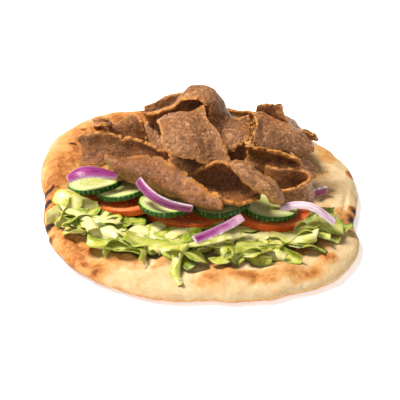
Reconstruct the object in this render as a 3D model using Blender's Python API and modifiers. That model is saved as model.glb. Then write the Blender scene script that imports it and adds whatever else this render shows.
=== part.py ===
"""Doner kebab served open on a naan.

Curled shavings of doner lie on rows of cucumber and tomato over shredded lettuce, with strips of
red onion, all on one hand-stretched naan. Lengths are written in millimetres and MM turns them into
metres. +X is to the right, +Y away from the eater, +Z up. The origin is under the middle of the naan.
"""

import math
from dataclasses import dataclass

import bmesh
import bpy
import numpy as np
from mathutils import Matrix, Vector
from mathutils.bvhtree import BVHTree

MM = 0.001

# The naan: its outline is the radius every 15 degrees, counter-clockwise from +X.
NAAN_RADII = (132, 134, 135, 134, 134, 134, 133, 139, 149, 152, 148, 136,
              125, 127, 130, 131, 131, 131, 130, 135, 141, 148, 143, 128)
NAAN_CENTRE_THICKNESS = 9.0
NAAN_RIM_HEIGHT = 14.0
NAAN_BACK_LEFT_PUFF = 8.0     # how much higher the rim stands where the dough puffed up
NAAN_PUFF_ANGLE = math.radians(140)
NAAN_PUFF_SPREAD = math.radians(52)
RIM_CREST = 0.88              # where the rim is highest, as a share of the radius
FOOT_EDGE = 0.93              # inside this share of the radius the naan lies flat

MEAT_THICKNESS = 3.2
ONION_THICKNESS = 2.4
TOMATO_RADIUS, TOMATO_THICKNESS = 36.5, 6.0
CUCUMBER_RADIUS, CUCUMBER_THICKNESS = 22.3, 4.5
RIM_ROUNDING = 1.7            # of a tomato's or a cucumber's slice
CLEARANCE = 0.4               # between neighbours, so that no two solids touch
CELL_LENGTH = 7.5             # of a shaving's mesh
RAGGED_END = 0.35             # the most by which an end is torn back, as a share of a cell


@dataclass(frozen=True)
class Strip:
    """A thin strip that curls. It starts at the middle of one end and runs forwards from there.

    heading is yaw (0 is +X, 90 is +Y), pitch and roll, in degrees. Each of bends, in degrees, is spread
    over an equal stretch of the length: positive curls towards the strip's upper side. fan turns it
    sideways and twist rolls it, both over its whole length. widths are at evenly spaced stations.
    crown raises the middle of the strip above its two edges.
    """

    name: str
    length: float
    widths: tuple
    start: tuple
    heading: tuple
    bends: tuple = (0,)
    fan: float = 0.0
    twist: float = 0.0
    crown: float = 0.0


SHAVINGS = (
    # under and behind the pile
    Strip("meat_base_left", 80, (24, 32, 26), (-76, 46, 15), (-3, 4, 10), (4, 4, -14, -8), crown=2),
    Strip("meat_base_right", 78, (24, 32, 26), (10, 36.2, 16.5), (-3, 6, 8), (-6, 0, 0, -16), crown=2),
    Strip("meat_rear_1", 60, (29, 23, 23, 27), (8.6, 57.8, 50), (7, 16, -43),
          (-30, -20, -26, -9), 0, 22, 1.1),
    Strip("meat_rear_2", 50, (25, 29, 30, 23), (45, 36, 57.8), (13, -24, -35),
          (8, -21, -14, 2), 0, 15, 0.4),
    Strip("meat_rear_3", 62, (28, 29, 23, 31), (-7.3, 56.6, 56.5), (25, 11, -35),
          (-31, 6, -19, -10), 0, -5, 0.9),
    Strip("meat_rear_4", 51, (21, 24, 29, 25), (54.1, 54.6, 55.3), (-16, 3, -20),
          (-14, -33, -23), 0, -17, 3.1),
    Strip("meat_rear_5", 61, (22, 27, 28, 26), (-70, 56, 35.1), (-5, 15, 19),
          (-30, 16, -4, -8), 0, 0, 3.1),
    Strip("meat_rear_6", 54, (22, 29, 29, 26), (-53.5, 21.1, 25.5), (56, 13, 14),
          (17, -5, -23), 0, 15, 0.8),
    Strip("meat_rear_7", 50, (31, 30, 27, 29), (-16.8, 17.4, 63.9), (-55, 14, -2),
          (-3, -26, 15), 0, 12, 2.9),
    Strip("meat_rear_8", 58, (26, 23, 28, 23), (45.1, 1.6, 57.7), (6, -24, 5),
          (-11, 11, -32, -21), 0, -12, 2.4),
    Strip("meat_rear_9", 51, (31, 29, 23, 22), (-72.4, 5.4, 31), (-33, 16, -13),
          (0, 14, -16), 0, 11, 2.2),
    Strip("meat_behind_arch", 52, (15, 25, 38, 40), (-41, 54, 57), (-31, 16, 76), (-7, -28, -14), -10, 4),
    Strip("meat_standing_behind", 22, (14, 19, 18), (38, 16, 51.6), (76, 54, -43), (12, 6), 15, 5),
    Strip("meat_torn_top_right", 41, (36, 35, 27, 20), (61.2, 18.5, 46.4), (94, 78, -20),
          (12, 2, 3), 7, 7, -0.8),
    Strip("meat_right_curl", 18, (10, 13, 9), (81, 17, 57.3), (-8, 11, 103), (6, 14, 48)),
    Strip("meat_left_curl", 82, (21, 32, 11, 8, 8, 8), (-41, 22, 57.3), (120, -12, -102),
          (26, 7, 6, 79, 125, 96), 1, 75, 2.9),
    Strip("meat_arch", 112, (27, 27, 32, 26, 21, 19), (-38, 22.5, 61.3), (-20, 27, -81),
          (41, 3, -75, -62, 52, 21), -27, 157, 2.9),
    # the middle of the pile
    Strip("meat_left_wall", 81, (24, 32, 24, 24, 27), (-99, 28, 34.3), (-42, 24, 75),
          (-50, 26, 2, -4), -21, 29, 1.8),
    Strip("meat_big_face", 55, (38, 32, 24, 17), (42, -0, 77), (10, -32, 25), (15, 4, -45), -9, 29, 1.4),
    Strip("meat_centre_face", 48, (67, 53, 44, 35), (16.2, -8.7, 76.5), (195, -20, -24),
          (47, -12, -11, -15), -10, 5, 2.8),
    Strip("meat_centre_flap", 37, (27, 29, 22, 9), (-24.6, -14.9, 57.1), (6, -18, 22),
          (-17, 12, 31, 14), -9, 4, 0.8),
    Strip("meat_under_middle", 50, (26, 30, 26), (-8, 6, 39.3), (0, 2, 50), (6, -10, 8), crown=2),
    Strip("meat_low_wall_right", 48, (18, 21, 18, 13), (36, -13.3, 57.9), (-14, -1, 98),
          (3, 7, -4, 34), 5, -7, -1.6),
    Strip("meat_low_tip_right", 19, (15, 16, 8), (80, -9, 44.3), (18, -26, 36), (-7, 3), -13, 24),
    # the front of the pile
    Strip("meat_scoop", 49, (60, 58, 51, 37), (20.3, -58.6, 47.7), (85, -58, 12),
          (48, 64, 54, 48), 31, -43, -2.6),
    Strip("meat_right_cone", 79, (32, 29, 28, 26, 18, 9), (54.4, -26.7, 41.7), (-63, 9, 89),
          (-38, -37, 85, 101, 29, -6), -4, 36, 0.2),
    Strip("meat_hook", 55, (12, 14, 18, 15, 10), (27.4, -49.2, 72.6), (-57, 6, 55),
          (-38, -4, -45, -69), -12, -42, 6),
    Strip("meat_front_roll", 107, (7, 20, 28, 28, 19, 11), (-70, -11.7, 54.2), (-52, 10, 35),
          (-31, 1, 2, -17), 9, 87, 3.8),
)

ONIONS = (
    Strip("onion_far_left", 41, (8, 12, 13, 12, 8), (-101, -33.1, 46.8), (2, 45, 22),
          (-28, -29, -9, -2), -10, -17, 1.7),
    Strip("onion_long_arc", 52, (8, 8, 8, 8, 8), (-45, -43, 52.3), (-68, -10, 59),
          (-28, -30, -12), 14, 30, 0.9),
    Strip("onion_front", 42, (8, 8, 8, 8), (-2, -88, 28.3), (28, 2, 24),
          (12, 11), 2, -10, -0.1),
    Strip("onion_right_arc", 46, (8, 8, 8, 8), (63, -64, 39.3), (10, 25, -9),
          (-25, -35, -5), -23, 5, 2.9),
    Strip("onion_far_right", 12, (8, 8, 8), (94, -12, 19.3), (26, 12, 96),
          (10, 9), -9, 0, -0.1),
)


@dataclass(frozen=True)
class Disc:
    """A round slice, placed by its middle. tilt is the turn about X and about Y, in degrees."""

    name: str
    radius: float
    thickness: float
    middle: tuple
    tilt: tuple


TOMATOES = (
    Disc("tomato_middle", TOMATO_RADIUS, TOMATO_THICKNESS, (-6.9, -22.6, 15.4), (-5, 0)),
    Disc("tomato_left", TOMATO_RADIUS, TOMATO_THICKNESS, (-52.5, -10.9, 19.3), (-7, -5)),
    Disc("tomato_right", TOMATO_RADIUS, TOMATO_THICKNESS, (57.2, -28.2, 18.8), (-4, 6)),
)

CUCUMBERS = (
    Disc("cucumber_5", CUCUMBER_RADIUS, CUCUMBER_THICKNESS, (56.4, -41, 26.3), (-7, 5)),
    Disc("cucumber_4", CUCUMBER_RADIUS, CUCUMBER_THICKNESS, (19.3, -42.5, 30.3), (-8, -9)),
    Disc("cucumber_3", CUCUMBER_RADIUS, CUCUMBER_THICKNESS, (-23.6, -41.2, 30.8), (-6, 0)),
    Disc("cucumber_2", CUCUMBER_RADIUS, CUCUMBER_THICKNESS, (-59.2, -20.1, 29.3), (-12, -9)),
    Disc("cucumber_1", CUCUMBER_RADIUS, CUCUMBER_THICKNESS, (-82.2, -8.4, 27.8), (-12, -9)),
)

# The lettuce lies in a band across the front of the naan, under everything else.
LETTUCE_HALF_SPAN = 114.0
LETTUCE_HEIGHT = 12.0
LETTUCE_CELLS = (30, 12)


def smoothstep(low, high, value):
    """0 below low, 1 above high, and a smooth rise between."""
    share = np.clip((value - low) / (high - low), 0.0, 1.0)
    return share * share * (3 - 2 * share)


def naan_radius(angle):
    """The naan's radius at an angle, smooth through NAAN_RADII."""
    count = len(NAAN_RADII)
    place = (angle / math.tau * count) % count
    first = int(place)
    share = place - first
    before, here, after, later = (NAAN_RADII[(first + k) % count] for k in (-1, 0, 1, 2))
    slope_here, slope_after = (after - before) / 2, (later - here) / 2
    rise = after - here
    return (here + slope_here * share + (3 * rise - 2 * slope_here - slope_after) * share**2
            + (slope_here + slope_after - 2 * rise) * share**3)


def naan_middle():
    """The middle of the outline's bounding box, which the naan is centred on."""
    angles = np.linspace(0, math.tau, 720, endpoint=False)
    x = [naan_radius(a) * math.cos(a) for a in angles]
    y = [naan_radius(a) * math.sin(a) for a in angles]
    return (min(x) + max(x)) / 2, (min(y) + max(y)) / 2


def rim_height(angle):
    """How high the naan's rim stands at an angle."""
    away = abs((angle - NAAN_PUFF_ANGLE + math.pi) % math.tau - math.pi)
    return NAAN_RIM_HEIGHT + NAAN_BACK_LEFT_PUFF * math.exp(-((away / NAAN_PUFF_SPREAD) ** 2))


def naan_height(share, angle, upper):
    """The height of the naan's upper or lower side, at a share of the radius."""
    rim = rim_height(angle)
    equator = 0.42 * rim
    if not upper:
        inward = max(0.0, (share - FOOT_EDGE) / (1 - FOOT_EDGE))
        return equator * (1 - math.sqrt(max(0.0, 1 - inward * inward)))
    if share <= RIM_CREST:
        rise = float(smoothstep(0.58, RIM_CREST, share))
        return NAAN_CENTRE_THICKNESS + (rim - NAAN_CENTRE_THICKNESS) * rise
    outward = (share - RIM_CREST) / (1 - RIM_CREST)
    return equator + (rim - equator) * math.sqrt(max(0.0, 1 - outward * outward))


def material(name, colour, roughness):
    """A plain Principled material. colour is linear RGB."""
    made = bpy.data.materials.new(name)
    made.use_nodes = True
    shader = made.node_tree.nodes["Principled BSDF"]
    shader.inputs["Base Color"].default_value = (*colour, 1)
    shader.inputs["Roughness"].default_value = roughness
    shader.inputs["Metallic"].default_value = 0.0
    return made


def finished(shape, name):
    """The bmesh as a mesh with its faces pointing out; the bmesh is freed."""
    bmesh.ops.recalc_face_normals(shape, faces=shape.faces)
    mesh = bpy.data.meshes.new(name)
    shape.to_mesh(mesh)
    shape.free()
    return mesh


def mesh_object(name, mesh, collection, finish):
    """A new object in the collection that shows the mesh."""
    made = bpy.data.objects.new(name, mesh)
    mesh.materials.append(finish)
    mesh.shade_smooth()
    mesh.set_sharp_from_angle(angle=math.radians(50))
    collection.objects.link(made)
    return made


def pillow(name, segments, rings, shape):
    """A mesh from a sphere: shape(share, angle, upper) gives the place of each of its points."""
    shell = bmesh.new()
    bmesh.ops.create_uvsphere(shell, u_segments=segments, v_segments=rings, radius=1.0)
    for corner in shell.verts:
        share = min(1.0, math.hypot(corner.co.x, corner.co.y))
        angle = math.atan2(corner.co.y, corner.co.x)
        corner.co = Vector(shape(share, angle, corner.co.z > -1e-6)) * MM
    return finished(shell, name)


def naan_mesh():
    """The naan, flat below and with a puffed rim."""
    centre_x, centre_y = naan_middle()

    def shape(share, angle, upper):
        radius = share * naan_radius(angle)
        return (radius * math.cos(angle) - centre_x, radius * math.sin(angle) - centre_y,
                naan_height(share, angle, upper))

    return pillow("naan", 52, 16, shape)


def turned(vector, axis, angle):
    """The vector turned about the axis, by an angle in radians."""
    return Matrix.Rotation(angle, 3, axis) @ vector


def strip_frames(strip, steps=96):
    """The strip's place, forward, sideways and upward directions at evenly spaced steps along it."""
    yaw, pitch, roll = (math.radians(a) for a in strip.heading)
    forward = Vector((math.cos(yaw) * math.cos(pitch), math.sin(yaw) * math.cos(pitch), math.sin(pitch)))
    side = Vector((-math.sin(yaw), math.cos(yaw), 0))
    side = turned(side, forward, roll)
    up = forward.cross(side)
    place = Vector(strip.start)
    frames = []
    stretch = steps / len(strip.bends)
    for step in range(steps + 1):
        frames.append((place.copy(), forward.copy(), side.copy(), up.copy()))
        bend = math.radians(strip.bends[min(int(step / stretch), len(strip.bends) - 1)]) / stretch
        forward, up = turned(forward, side, -bend), turned(up, side, -bend)
        fan = math.radians(strip.fan) / steps
        forward, side = turned(forward, up, fan), turned(side, up, fan)
        twist = math.radians(strip.twist) / steps
        side, up = turned(side, forward, twist), turned(up, forward, twist)
        place = place + forward * (strip.length / steps)
    return frames


def strip_point(strip, frames, along, across):
    """The point at a share along the strip, 0 to 1, and across it, -1 to 1."""
    at = along * (len(frames) - 1)
    first = min(int(at), len(frames) - 2)
    share = at - first
    place, _, side, up = (a.lerp(b, share) for a, b in zip(frames[first], frames[first + 1]))
    stations = np.linspace(0, 1, len(strip.widths))
    width = float(np.interp(along, stations, strip.widths))
    return place + side * (across * width / 2) + up * (strip.crown * (0.5 - across * across))


def sheet_object(strip, thickness, collection, finish):
    """The strip as a curled surface with torn ends, thickened on both sides."""
    frames = strip_frames(strip)
    along_cells = int(np.clip(round(strip.length / CELL_LENGTH), 4, 18))
    across_cells = 4 if thickness > ONION_THICKNESS else 2
    ragged = np.random.default_rng(len(strip.name) + int(strip.length))
    tears = ragged.uniform(0.0, RAGGED_END, (2, across_cells + 1))
    surface = bmesh.new()
    bmesh.ops.create_grid(surface, x_segments=along_cells, y_segments=across_cells, size=1.0)
    for corner in surface.verts:
        along, across = (corner.co.x + 1) / 2, corner.co.y
        column = round((across + 1) / 2 * across_cells)
        pinch = 1 - 0.10 * abs(along * 2 - 1) ** 8
        if along < 0.01:
            along = tears[0][column] / along_cells
        elif along > 0.99:
            along = 1 - tears[1][column] / along_cells
        corner.co = strip_point(strip, frames, along, across * pinch) * MM
    made = mesh_object(strip.name, finished(surface, strip.name), collection, finish)
    skin = made.modifiers.new("thickness", "SOLIDIFY")
    skin.thickness = thickness * MM
    skin.offset = 0.0
    return made


def disc_object(disc, collection, finish, segments=26):
    """A round slice with its rims rounded off, and slightly out of round."""
    uneven = np.random.default_rng(len(disc.name) + int(disc.middle[0] + 200))
    phases = uneven.uniform(0, math.tau, 2)
    slab = bmesh.new()
    bmesh.ops.create_cone(slab, cap_ends=True, segments=segments, radius1=disc.radius * MM,
                          radius2=disc.radius * MM, depth=disc.thickness * MM)
    rims = [edge for edge in slab.edges if abs(edge.verts[0].co.z - edge.verts[1].co.z) < 1e-6]
    bmesh.ops.bevel(slab, geom=rims, offset=RIM_ROUNDING * MM, segments=2, profile=0.5, affect="EDGES")
    for corner in slab.verts:
        angle = math.atan2(corner.co.y, corner.co.x)
        wobble = 1 + 0.012 * math.sin(2 * angle + phases[0]) + 0.008 * math.sin(5 * angle + phases[1])
        corner.co.x *= wobble
        corner.co.y *= wobble
    made = mesh_object(disc.name, finished(slab, disc.name), collection, finish)
    made.location = Vector(disc.middle) * MM
    made.rotation_euler = (math.radians(disc.tilt[0]), math.radians(disc.tilt[1]), 0)
    return made


def tree_of(obj):
    """The object's faces where they stand, ready for tests of what lies above a point."""
    bpy.context.view_layer.update()
    shown = obj.evaluated_get(bpy.context.evaluated_depsgraph_get())
    mesh = shown.to_mesh()
    corners = [shown.matrix_world @ corner.co for corner in mesh.vertices]
    tree = BVHTree.FromPolygons(corners, [tuple(face.vertices) for face in mesh.polygons])
    shown.to_mesh_clear()
    return tree


def lettuce_edges(share):
    """The front and the back edge of the lettuce, as y, at a share from -1 to 1 of the way across."""
    wave = 6 * math.sin(7 * share + 1) + 5 * math.sin(17 * share)
    tip = 12 * math.exp(-((share + 0.06) / 0.05) ** 2)
    front = -100 + 38 * share**2 + wave - tip
    back = -30 + 10 * share**2 - 36 * math.exp(-((share - 0.62) / 0.3) ** 2)
    rounding = 0.3 * (back - front) * abs(share) ** 14
    return front + rounding, back - rounding


def lettuce_mesh(naan, above):
    """The heap of lettuce: close over the naan, and close under the trees above it where they reach."""
    across_cells, deep_cells = LETTUCE_CELLS
    bumps = np.random.default_rng(5).uniform(0.1, 1, (across_cells + 1, deep_cells + 1))
    places = np.empty((across_cells + 1, deep_cells + 1, 2))
    floors = np.empty((across_cells + 1, deep_cells + 1))
    tops = np.empty_like(floors)
    width = 2 * LETTUCE_HALF_SPAN / across_cells
    for i in range(across_cells + 1):
        share = 2 * i / across_cells - 1
        front, back = lettuce_edges(share)
        depth = (back - front) / deep_cells
        for j in range(deep_cells + 1):
            x, y = share * LETTUCE_HALF_SPAN, front + depth * j
            places[i, j] = x, y
            around = [Vector((x + a * width, y + b * depth, 0)) * MM for a in (-1, 0, 1) for b in (-1, 0, 1)]
            hits = [naan.ray_cast(point + Vector((0, 0, 1)), Vector((0, 0, -1)))[0] for point in around]
            floors[i, j] = max(hit.z for hit in hits if hit) / MM + CLEARANCE
            edge = min(1.0, 3.0 * j / deep_cells, 4.0 * (1 - abs(share)) + 0.15)
            wanted = floors[i, j] + 1.5 + LETTUCE_HEIGHT * bumps[i, j] * edge
            for tree in above:
                hits = [tree.ray_cast(point, Vector((0, 0, 1)))[0] for point in around]
                wanted = min([wanted] + [hit.z / MM - CLEARANCE for hit in hits if hit])
            tops[i, j] = max(wanted, floors[i, j] + 0.8)
    heap = bmesh.new()
    bmesh.ops.create_grid(heap, x_segments=across_cells, y_segments=deep_cells, size=1.0)
    cells = {corner: (round((corner.co.x + 1) / 2 * across_cells), round((corner.co.y + 1) / 2 * deep_cells))
             for corner in heap.verts}
    for corner, cell in cells.items():
        corner.co = Vector((*places[cell], floors[cell])) * MM
    raised = bmesh.ops.extrude_face_region(heap, geom=heap.faces[:])
    for corner in (piece for piece in raised["geom"] if isinstance(piece, bmesh.types.BMVert)):
        cell = min(cells.values(), key=lambda c: (Vector(places[c]) * MM - corner.co.xy).length)
        corner.co.z = tops[cell] * MM
    return finished(heap, "lettuce_heap")


def new_collection(name):
    """A collection in the scene."""
    made = bpy.data.collections.new(name)
    bpy.context.scene.collection.children.link(made)
    return made


def build():
    """Clears the scene and builds the whole sandwich."""
    for obj in list(bpy.data.objects):
        bpy.data.objects.remove(obj, do_unlink=True)
    parts = new_collection("doner_kebab_sandwich")
    new_collection("cutters")

    naan = mesh_object("naan", naan_mesh(), parts, material("baked naan", (0.62, 0.38, 0.16), 0.75))
    tomato = material("tomato flesh", (0.60, 0.11, 0.02), 0.3)
    cucumber = material("cucumber flesh", (0.55, 0.62, 0.25), 0.35)
    doner = material("roast doner", (0.22, 0.10, 0.045), 0.5)
    onion = material("red onion", (0.36, 0.06, 0.22), 0.35)
    pieces = [disc_object(disc, parts, tomato.copy()) for disc in TOMATOES]
    pieces += [disc_object(disc, parts, cucumber.copy()) for disc in CUCUMBERS]
    pieces += [sheet_object(strip, MEAT_THICKNESS, parts, doner.copy()) for strip in SHAVINGS]
    pieces += [sheet_object(strip, ONION_THICKNESS, parts, onion.copy()) for strip in ONIONS]
    lettuce = lettuce_mesh(tree_of(naan), [tree_of(piece) for piece in pieces])
    mesh_object("lettuce_heap", lettuce, parts, material("iceberg lettuce", (0.42, 0.58, 0.14), 0.45))


build()
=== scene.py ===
"""Looks of the doner kebab sandwich: baked naan, roast doner, salad, and the studio around it.

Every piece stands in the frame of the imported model, in metres, +X to the right, +Y away from the eater,
+Z up. Lengths in the tables are millimetres, and MM turns them into metres.
"""

import logging
import math
from collections.abc import Sequence
from dataclasses import dataclass, field, replace
from enum import Enum

import bpy
import numpy as np
from mathutils import Matrix, Vector, noise
from mathutils.bvhtree import BVHTree


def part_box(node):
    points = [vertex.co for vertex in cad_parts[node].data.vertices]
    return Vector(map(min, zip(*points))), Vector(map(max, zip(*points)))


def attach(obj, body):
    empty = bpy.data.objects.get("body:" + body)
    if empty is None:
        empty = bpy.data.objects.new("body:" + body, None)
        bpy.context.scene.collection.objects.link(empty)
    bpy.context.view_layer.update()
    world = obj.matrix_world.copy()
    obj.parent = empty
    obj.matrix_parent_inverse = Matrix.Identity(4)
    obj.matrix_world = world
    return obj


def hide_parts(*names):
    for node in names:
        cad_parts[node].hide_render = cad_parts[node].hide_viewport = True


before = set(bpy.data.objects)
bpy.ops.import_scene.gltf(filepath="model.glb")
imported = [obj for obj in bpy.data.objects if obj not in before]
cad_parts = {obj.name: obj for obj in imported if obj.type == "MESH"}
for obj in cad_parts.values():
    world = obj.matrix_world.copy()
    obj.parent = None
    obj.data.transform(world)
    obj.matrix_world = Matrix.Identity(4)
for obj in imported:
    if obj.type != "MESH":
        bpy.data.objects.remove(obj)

LOG = logging.getLogger("doner_kebab_sandwich")
MM = 0.001
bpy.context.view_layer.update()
ABOVE_ALL = 200  # millimetres, from where rays are cast down
DOWN = Vector((0, 0, -1))
UP = Vector((0, 0, 1))

Colour = tuple[float, float, float, float]


def srgb(code: str) -> Colour:
    """Turns an sRGB hex colour into linear RGBA.

    Args:
        code: the colour, such as "#E8CFA0".

    Returns:
        Its linear red, green and blue, and alpha 1.
    """
    parts = [int(code[i:i + 2], 16) / 255 for i in (1, 3, 5)]
    linear = [p / 12.92 if p <= 0.04045 else ((p + 0.055) / 1.055) ** 2.4 for p in parts]
    return (linear[0], linear[1], linear[2], 1.0)


def smoothstep(low: float, high: float, value: np.ndarray) -> np.ndarray:
    """A smooth rise.

    Args:
        low: the value where it leaves 0.
        high: the value where it reaches 1.
        value: the values.

    Returns:
        0 below low, 1 above high and a smooth rise between.
    """
    share = np.clip((value - low) / (high - low), 0.0, 1.0)
    return share * share * (3 - 2 * share)


# ---------------------------------------------------------------------------------------------------
# materials

Tree = bpy.types.NodeTree
Socket = bpy.types.NodeSocket
Source = Socket | float | str | tuple[float, ...]
SMOOTH = {"interpolation_type": "SMOOTHSTEP"}
COLOURS = {"data_type": "RGBA"}
UNDER, OVER, MIXED = 6, 7, 2  # the colour sockets of a mix


def feed(tree: Tree, target: bpy.types.Node, inputs: dict[str | int, Source]) -> None:
    """Fills inputs of a node: an output is linked, a hex code is turned into a colour, the rest is set.

    Args:
        tree: the node tree.
        target: the node.
        inputs: socket name or number to what goes in.
    """
    for name, source in inputs.items():
        if isinstance(source, Socket):
            tree.links.new(source, target.inputs[name])
        else:
            target.inputs[name].default_value = srgb(source) if isinstance(source, str) else source


def node(tree: Tree, kind: str, inputs: dict[str | int, Source], out: str | int = 0,
         stops: Sequence[tuple[float, str]] = (), **settings: str | bool) -> Socket:
    """Adds a node with its settings and links.

    Args:
        tree: the node tree it goes in.
        kind: the node's type, such as "TexNoise".
        inputs: socket name or number to an output, an sRGB hex colour or a value.
        out: which of its outputs is wanted.
        stops: a ramp's positions and hex colours, in order.
        settings: the node's own properties.

    Returns:
        The wanted output.
    """
    made = tree.nodes.new(f"ShaderNode{kind}")
    for name, value in settings.items():
        setattr(made, name, value)
    if stops:
        elements = made.color_ramp.elements
        while len(elements) < len(stops):
            elements.new(0.5)
        for element, (position, code) in zip(elements, stops):
            element.position, element.color = position, srgb(code)
    feed(tree, made, inputs)
    return made.outputs[out]


def laid(tree: Tree, under: Source, over: Source, mask: Socket, low: float, high: float,
         at_low: float = 0.0, at_high: float = 1.0) -> Socket:
    """Lays one colour over another where a mask rises from low to high.

    Args:
        tree: the node tree.
        under: the colour below.
        over: the colour on top.
        mask: what decides where it shows.
        low: the mask's value where it starts.
        high: the mask's value where it is fully there.
        at_low: how much of it shows at low and below.
        at_high: how much of it shows at high and above.

    Returns:
        The colour of the two together.
    """
    cover = node(tree, "MapRange", {0: mask, 1: low, 2: high, 3: at_low, 4: at_high}, **SMOOTH)
    return node(tree, "Mix", {0: cover, UNDER: under, OVER: over}, MIXED, **COLOURS)


def broken(tree: Tree, mask: Socket, by: Socket, low: float, high: float,
           at_low: float = 0.0, at_high: float = 1.0) -> Socket:
    """A mask broken up by a pattern.

    Args:
        tree: the node tree.
        mask: the mask.
        by: the pattern.
        low: the pattern's value where at_low holds.
        high: the pattern's value where at_high holds.
        at_low: what the mask is multiplied by at low and below.
        at_high: what the mask is multiplied by at high and above.

    Returns:
        The product, held between 0 and 1.
    """
    share = node(tree, "MapRange", {0: by, 1: low, 2: high, 3: at_low, 4: at_high}, **SMOOTH)
    return node(tree, "Math", {0: mask, 1: share}, operation="MULTIPLY", use_clamp=True)


class Finish:
    """A finish that a piece can be dressed in."""

    name = "finish"

    def material(self) -> bpy.types.Material:
        """Makes the finish's material the first time it is asked for.

        Returns:
            The material.
        """
        made = bpy.data.materials.get(self.name)
        if made:
            return made
        made = bpy.data.materials.new(self.name)
        made.use_nodes = True
        tree = made.node_tree
        self.paint(tree, tree.nodes["Principled BSDF"], node(tree, "TexCoord", {}, "Object"))
        return made

    def paint(self, tree: Tree, shader: bpy.types.Node, place: Socket) -> None:
        """Wires the finish's colour, roughness and bump to the shader."""
        raise NotImplementedError

    def carried(self, tree: Tree, names: Sequence[str], out: str = "Fac") -> list[Socket]:
        """Values that the mesh carries at its points: "Fac" reads numbers and "Vector" places."""
        return [node(tree, "Attribute", {}, out, attribute_name=name) for name in names]

    def drawn_out(self, tree: Tree, name: str, scale: tuple[float, float, float]) -> Socket:
        """A place that the mesh carries, scaled; under 1 draws a pattern out along that axis."""
        place = self.carried(tree, (name,), "Vector")[0]
        return node(tree, "Mapping", {"Vector": place, "Scale": scale})

    def grains(self, tree: Tree, place: Socket,
               sizes: Sequence[tuple[float, float, float, float]]) -> list[Socket]:
        """The finish's fractal patterns, at their real sizes.

        Args:
            tree: the node tree.
            place: where a point is, in metres.
            sizes: for each pattern its largest features in millimetres, its detail, its roughness
                and how far it is bent.

        Returns:
            The patterns, each from 0 to 1.
        """
        return [node(tree, "TexNoise", {"Vector": place, "Scale": 1 / (size * MM), "Detail": detail,
                                        "Roughness": rough, "Distortion": bent})
                for size, detail, rough, bent in sizes]

    def relief(self, tree: Tree, shader: bpy.types.Node, layers: Sequence[tuple[Socket, float]]) -> Socket:
        """Stacks bumps on the shader.

        Args:
            tree: the node tree.
            shader: the shader that takes the bump.
            layers: heights from 0 to 1, each with its full height in millimetres.

        Returns:
            The bumped normal.
        """
        normal: dict[str | int, Source] = {}
        for height, depth in layers:
            bump = node(tree, "Bump", {"Strength": 1.0, "Distance": depth * MM, "Height": height} | normal)
            normal = {"Normal": bump}
        feed(tree, shader, normal)
        return bump


@dataclass(frozen=True)
class BakedNaan(Finish):
    """Tandoor-baked wheat dough: matt and floury cream, golden where it puffed, charred on the crests."""

    name: str = "tandoor_baked_naan"
    crumb: str = "#CFAE7C"
    pale: str = "#DDC79C"
    toasted: str = "#CB985A"
    golden: str = "#B9783A"
    brown: str = "#85481F"
    char: str = "#2C160C"
    mottle_mm: float = 22.0
    freckle_mm: float = 4.5
    speck_mm: float = 3.0
    pore_mm: float = 1.6

    def paint(self, tree: Tree, shader: bpy.types.Node, place: Socket) -> None:
        """Cream crumb with toasted mottling, and golden and charred marks from the mesh.

        Args:
            tree: the material's nodes.
            shader: the shader they end in.
            place: where a point is, in metres.
        """
        golden, char, flour = self.carried(tree, ("golden", "char", "flour"))
        mottle, freckle, pores, speck = self.grains(tree, place, (
            (self.mottle_mm, 6.0, 0.6, 0.6), (self.freckle_mm, 5.0, 0.65, 0.0),
            (self.pore_mm, 3.0, 0.6, 0.0), (self.speck_mm, 2.0, 0.5, 0.0)))
        stops = ((0.30, self.pale), (0.56, self.crumb), (0.86, self.toasted))
        dough = node(tree, "ValToRGB", {0: mottle}, stops=stops)
        dusting = node(tree, "Math", {0: flour, 1: 0.75}, operation="MULTIPLY", use_clamp=True)
        dough = node(tree, "Mix", {0: dusting, UNDER: dough, OVER: self.pale}, MIXED, **COLOURS)
        baked = broken(tree, golden, freckle, 0.30, 0.66, 0.58, 1.22)
        burnt = broken(tree, char, freckle, 0.28, 0.62, 0.75, 1.15)
        for mask, low, high, most, colour in (
                (baked, 0.08, 0.42, 1.0, self.toasted), (baked, 0.36, 0.80, 1.0, self.golden),
                (baked, 0.78, 1.0, 0.55, self.brown), (burnt, 0.05, 0.30, 1.0, self.golden),
                (burnt, 0.25, 0.55, 1.0, self.brown), (burnt, 0.55, 0.95, 1.0, self.char),
                (speck, 0.66, 0.74, 0.35, self.toasted)):
            dough = laid(tree, dough, colour, mask, low, high, 0.0, most)
        feed(tree, shader, {"Base Color": dough, "Roughness": 0.72, "IOR": 1.45, "Specular IOR Level": 0.35,
                            "Subsurface Weight": 0.12, "Subsurface Radius": (0.004, 0.002, 0.001),
                            "Subsurface Scale": 0.6})
        self.relief(tree, shader, ((mottle, 2.6), (freckle, 0.8), (pores, 0.25)))


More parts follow.
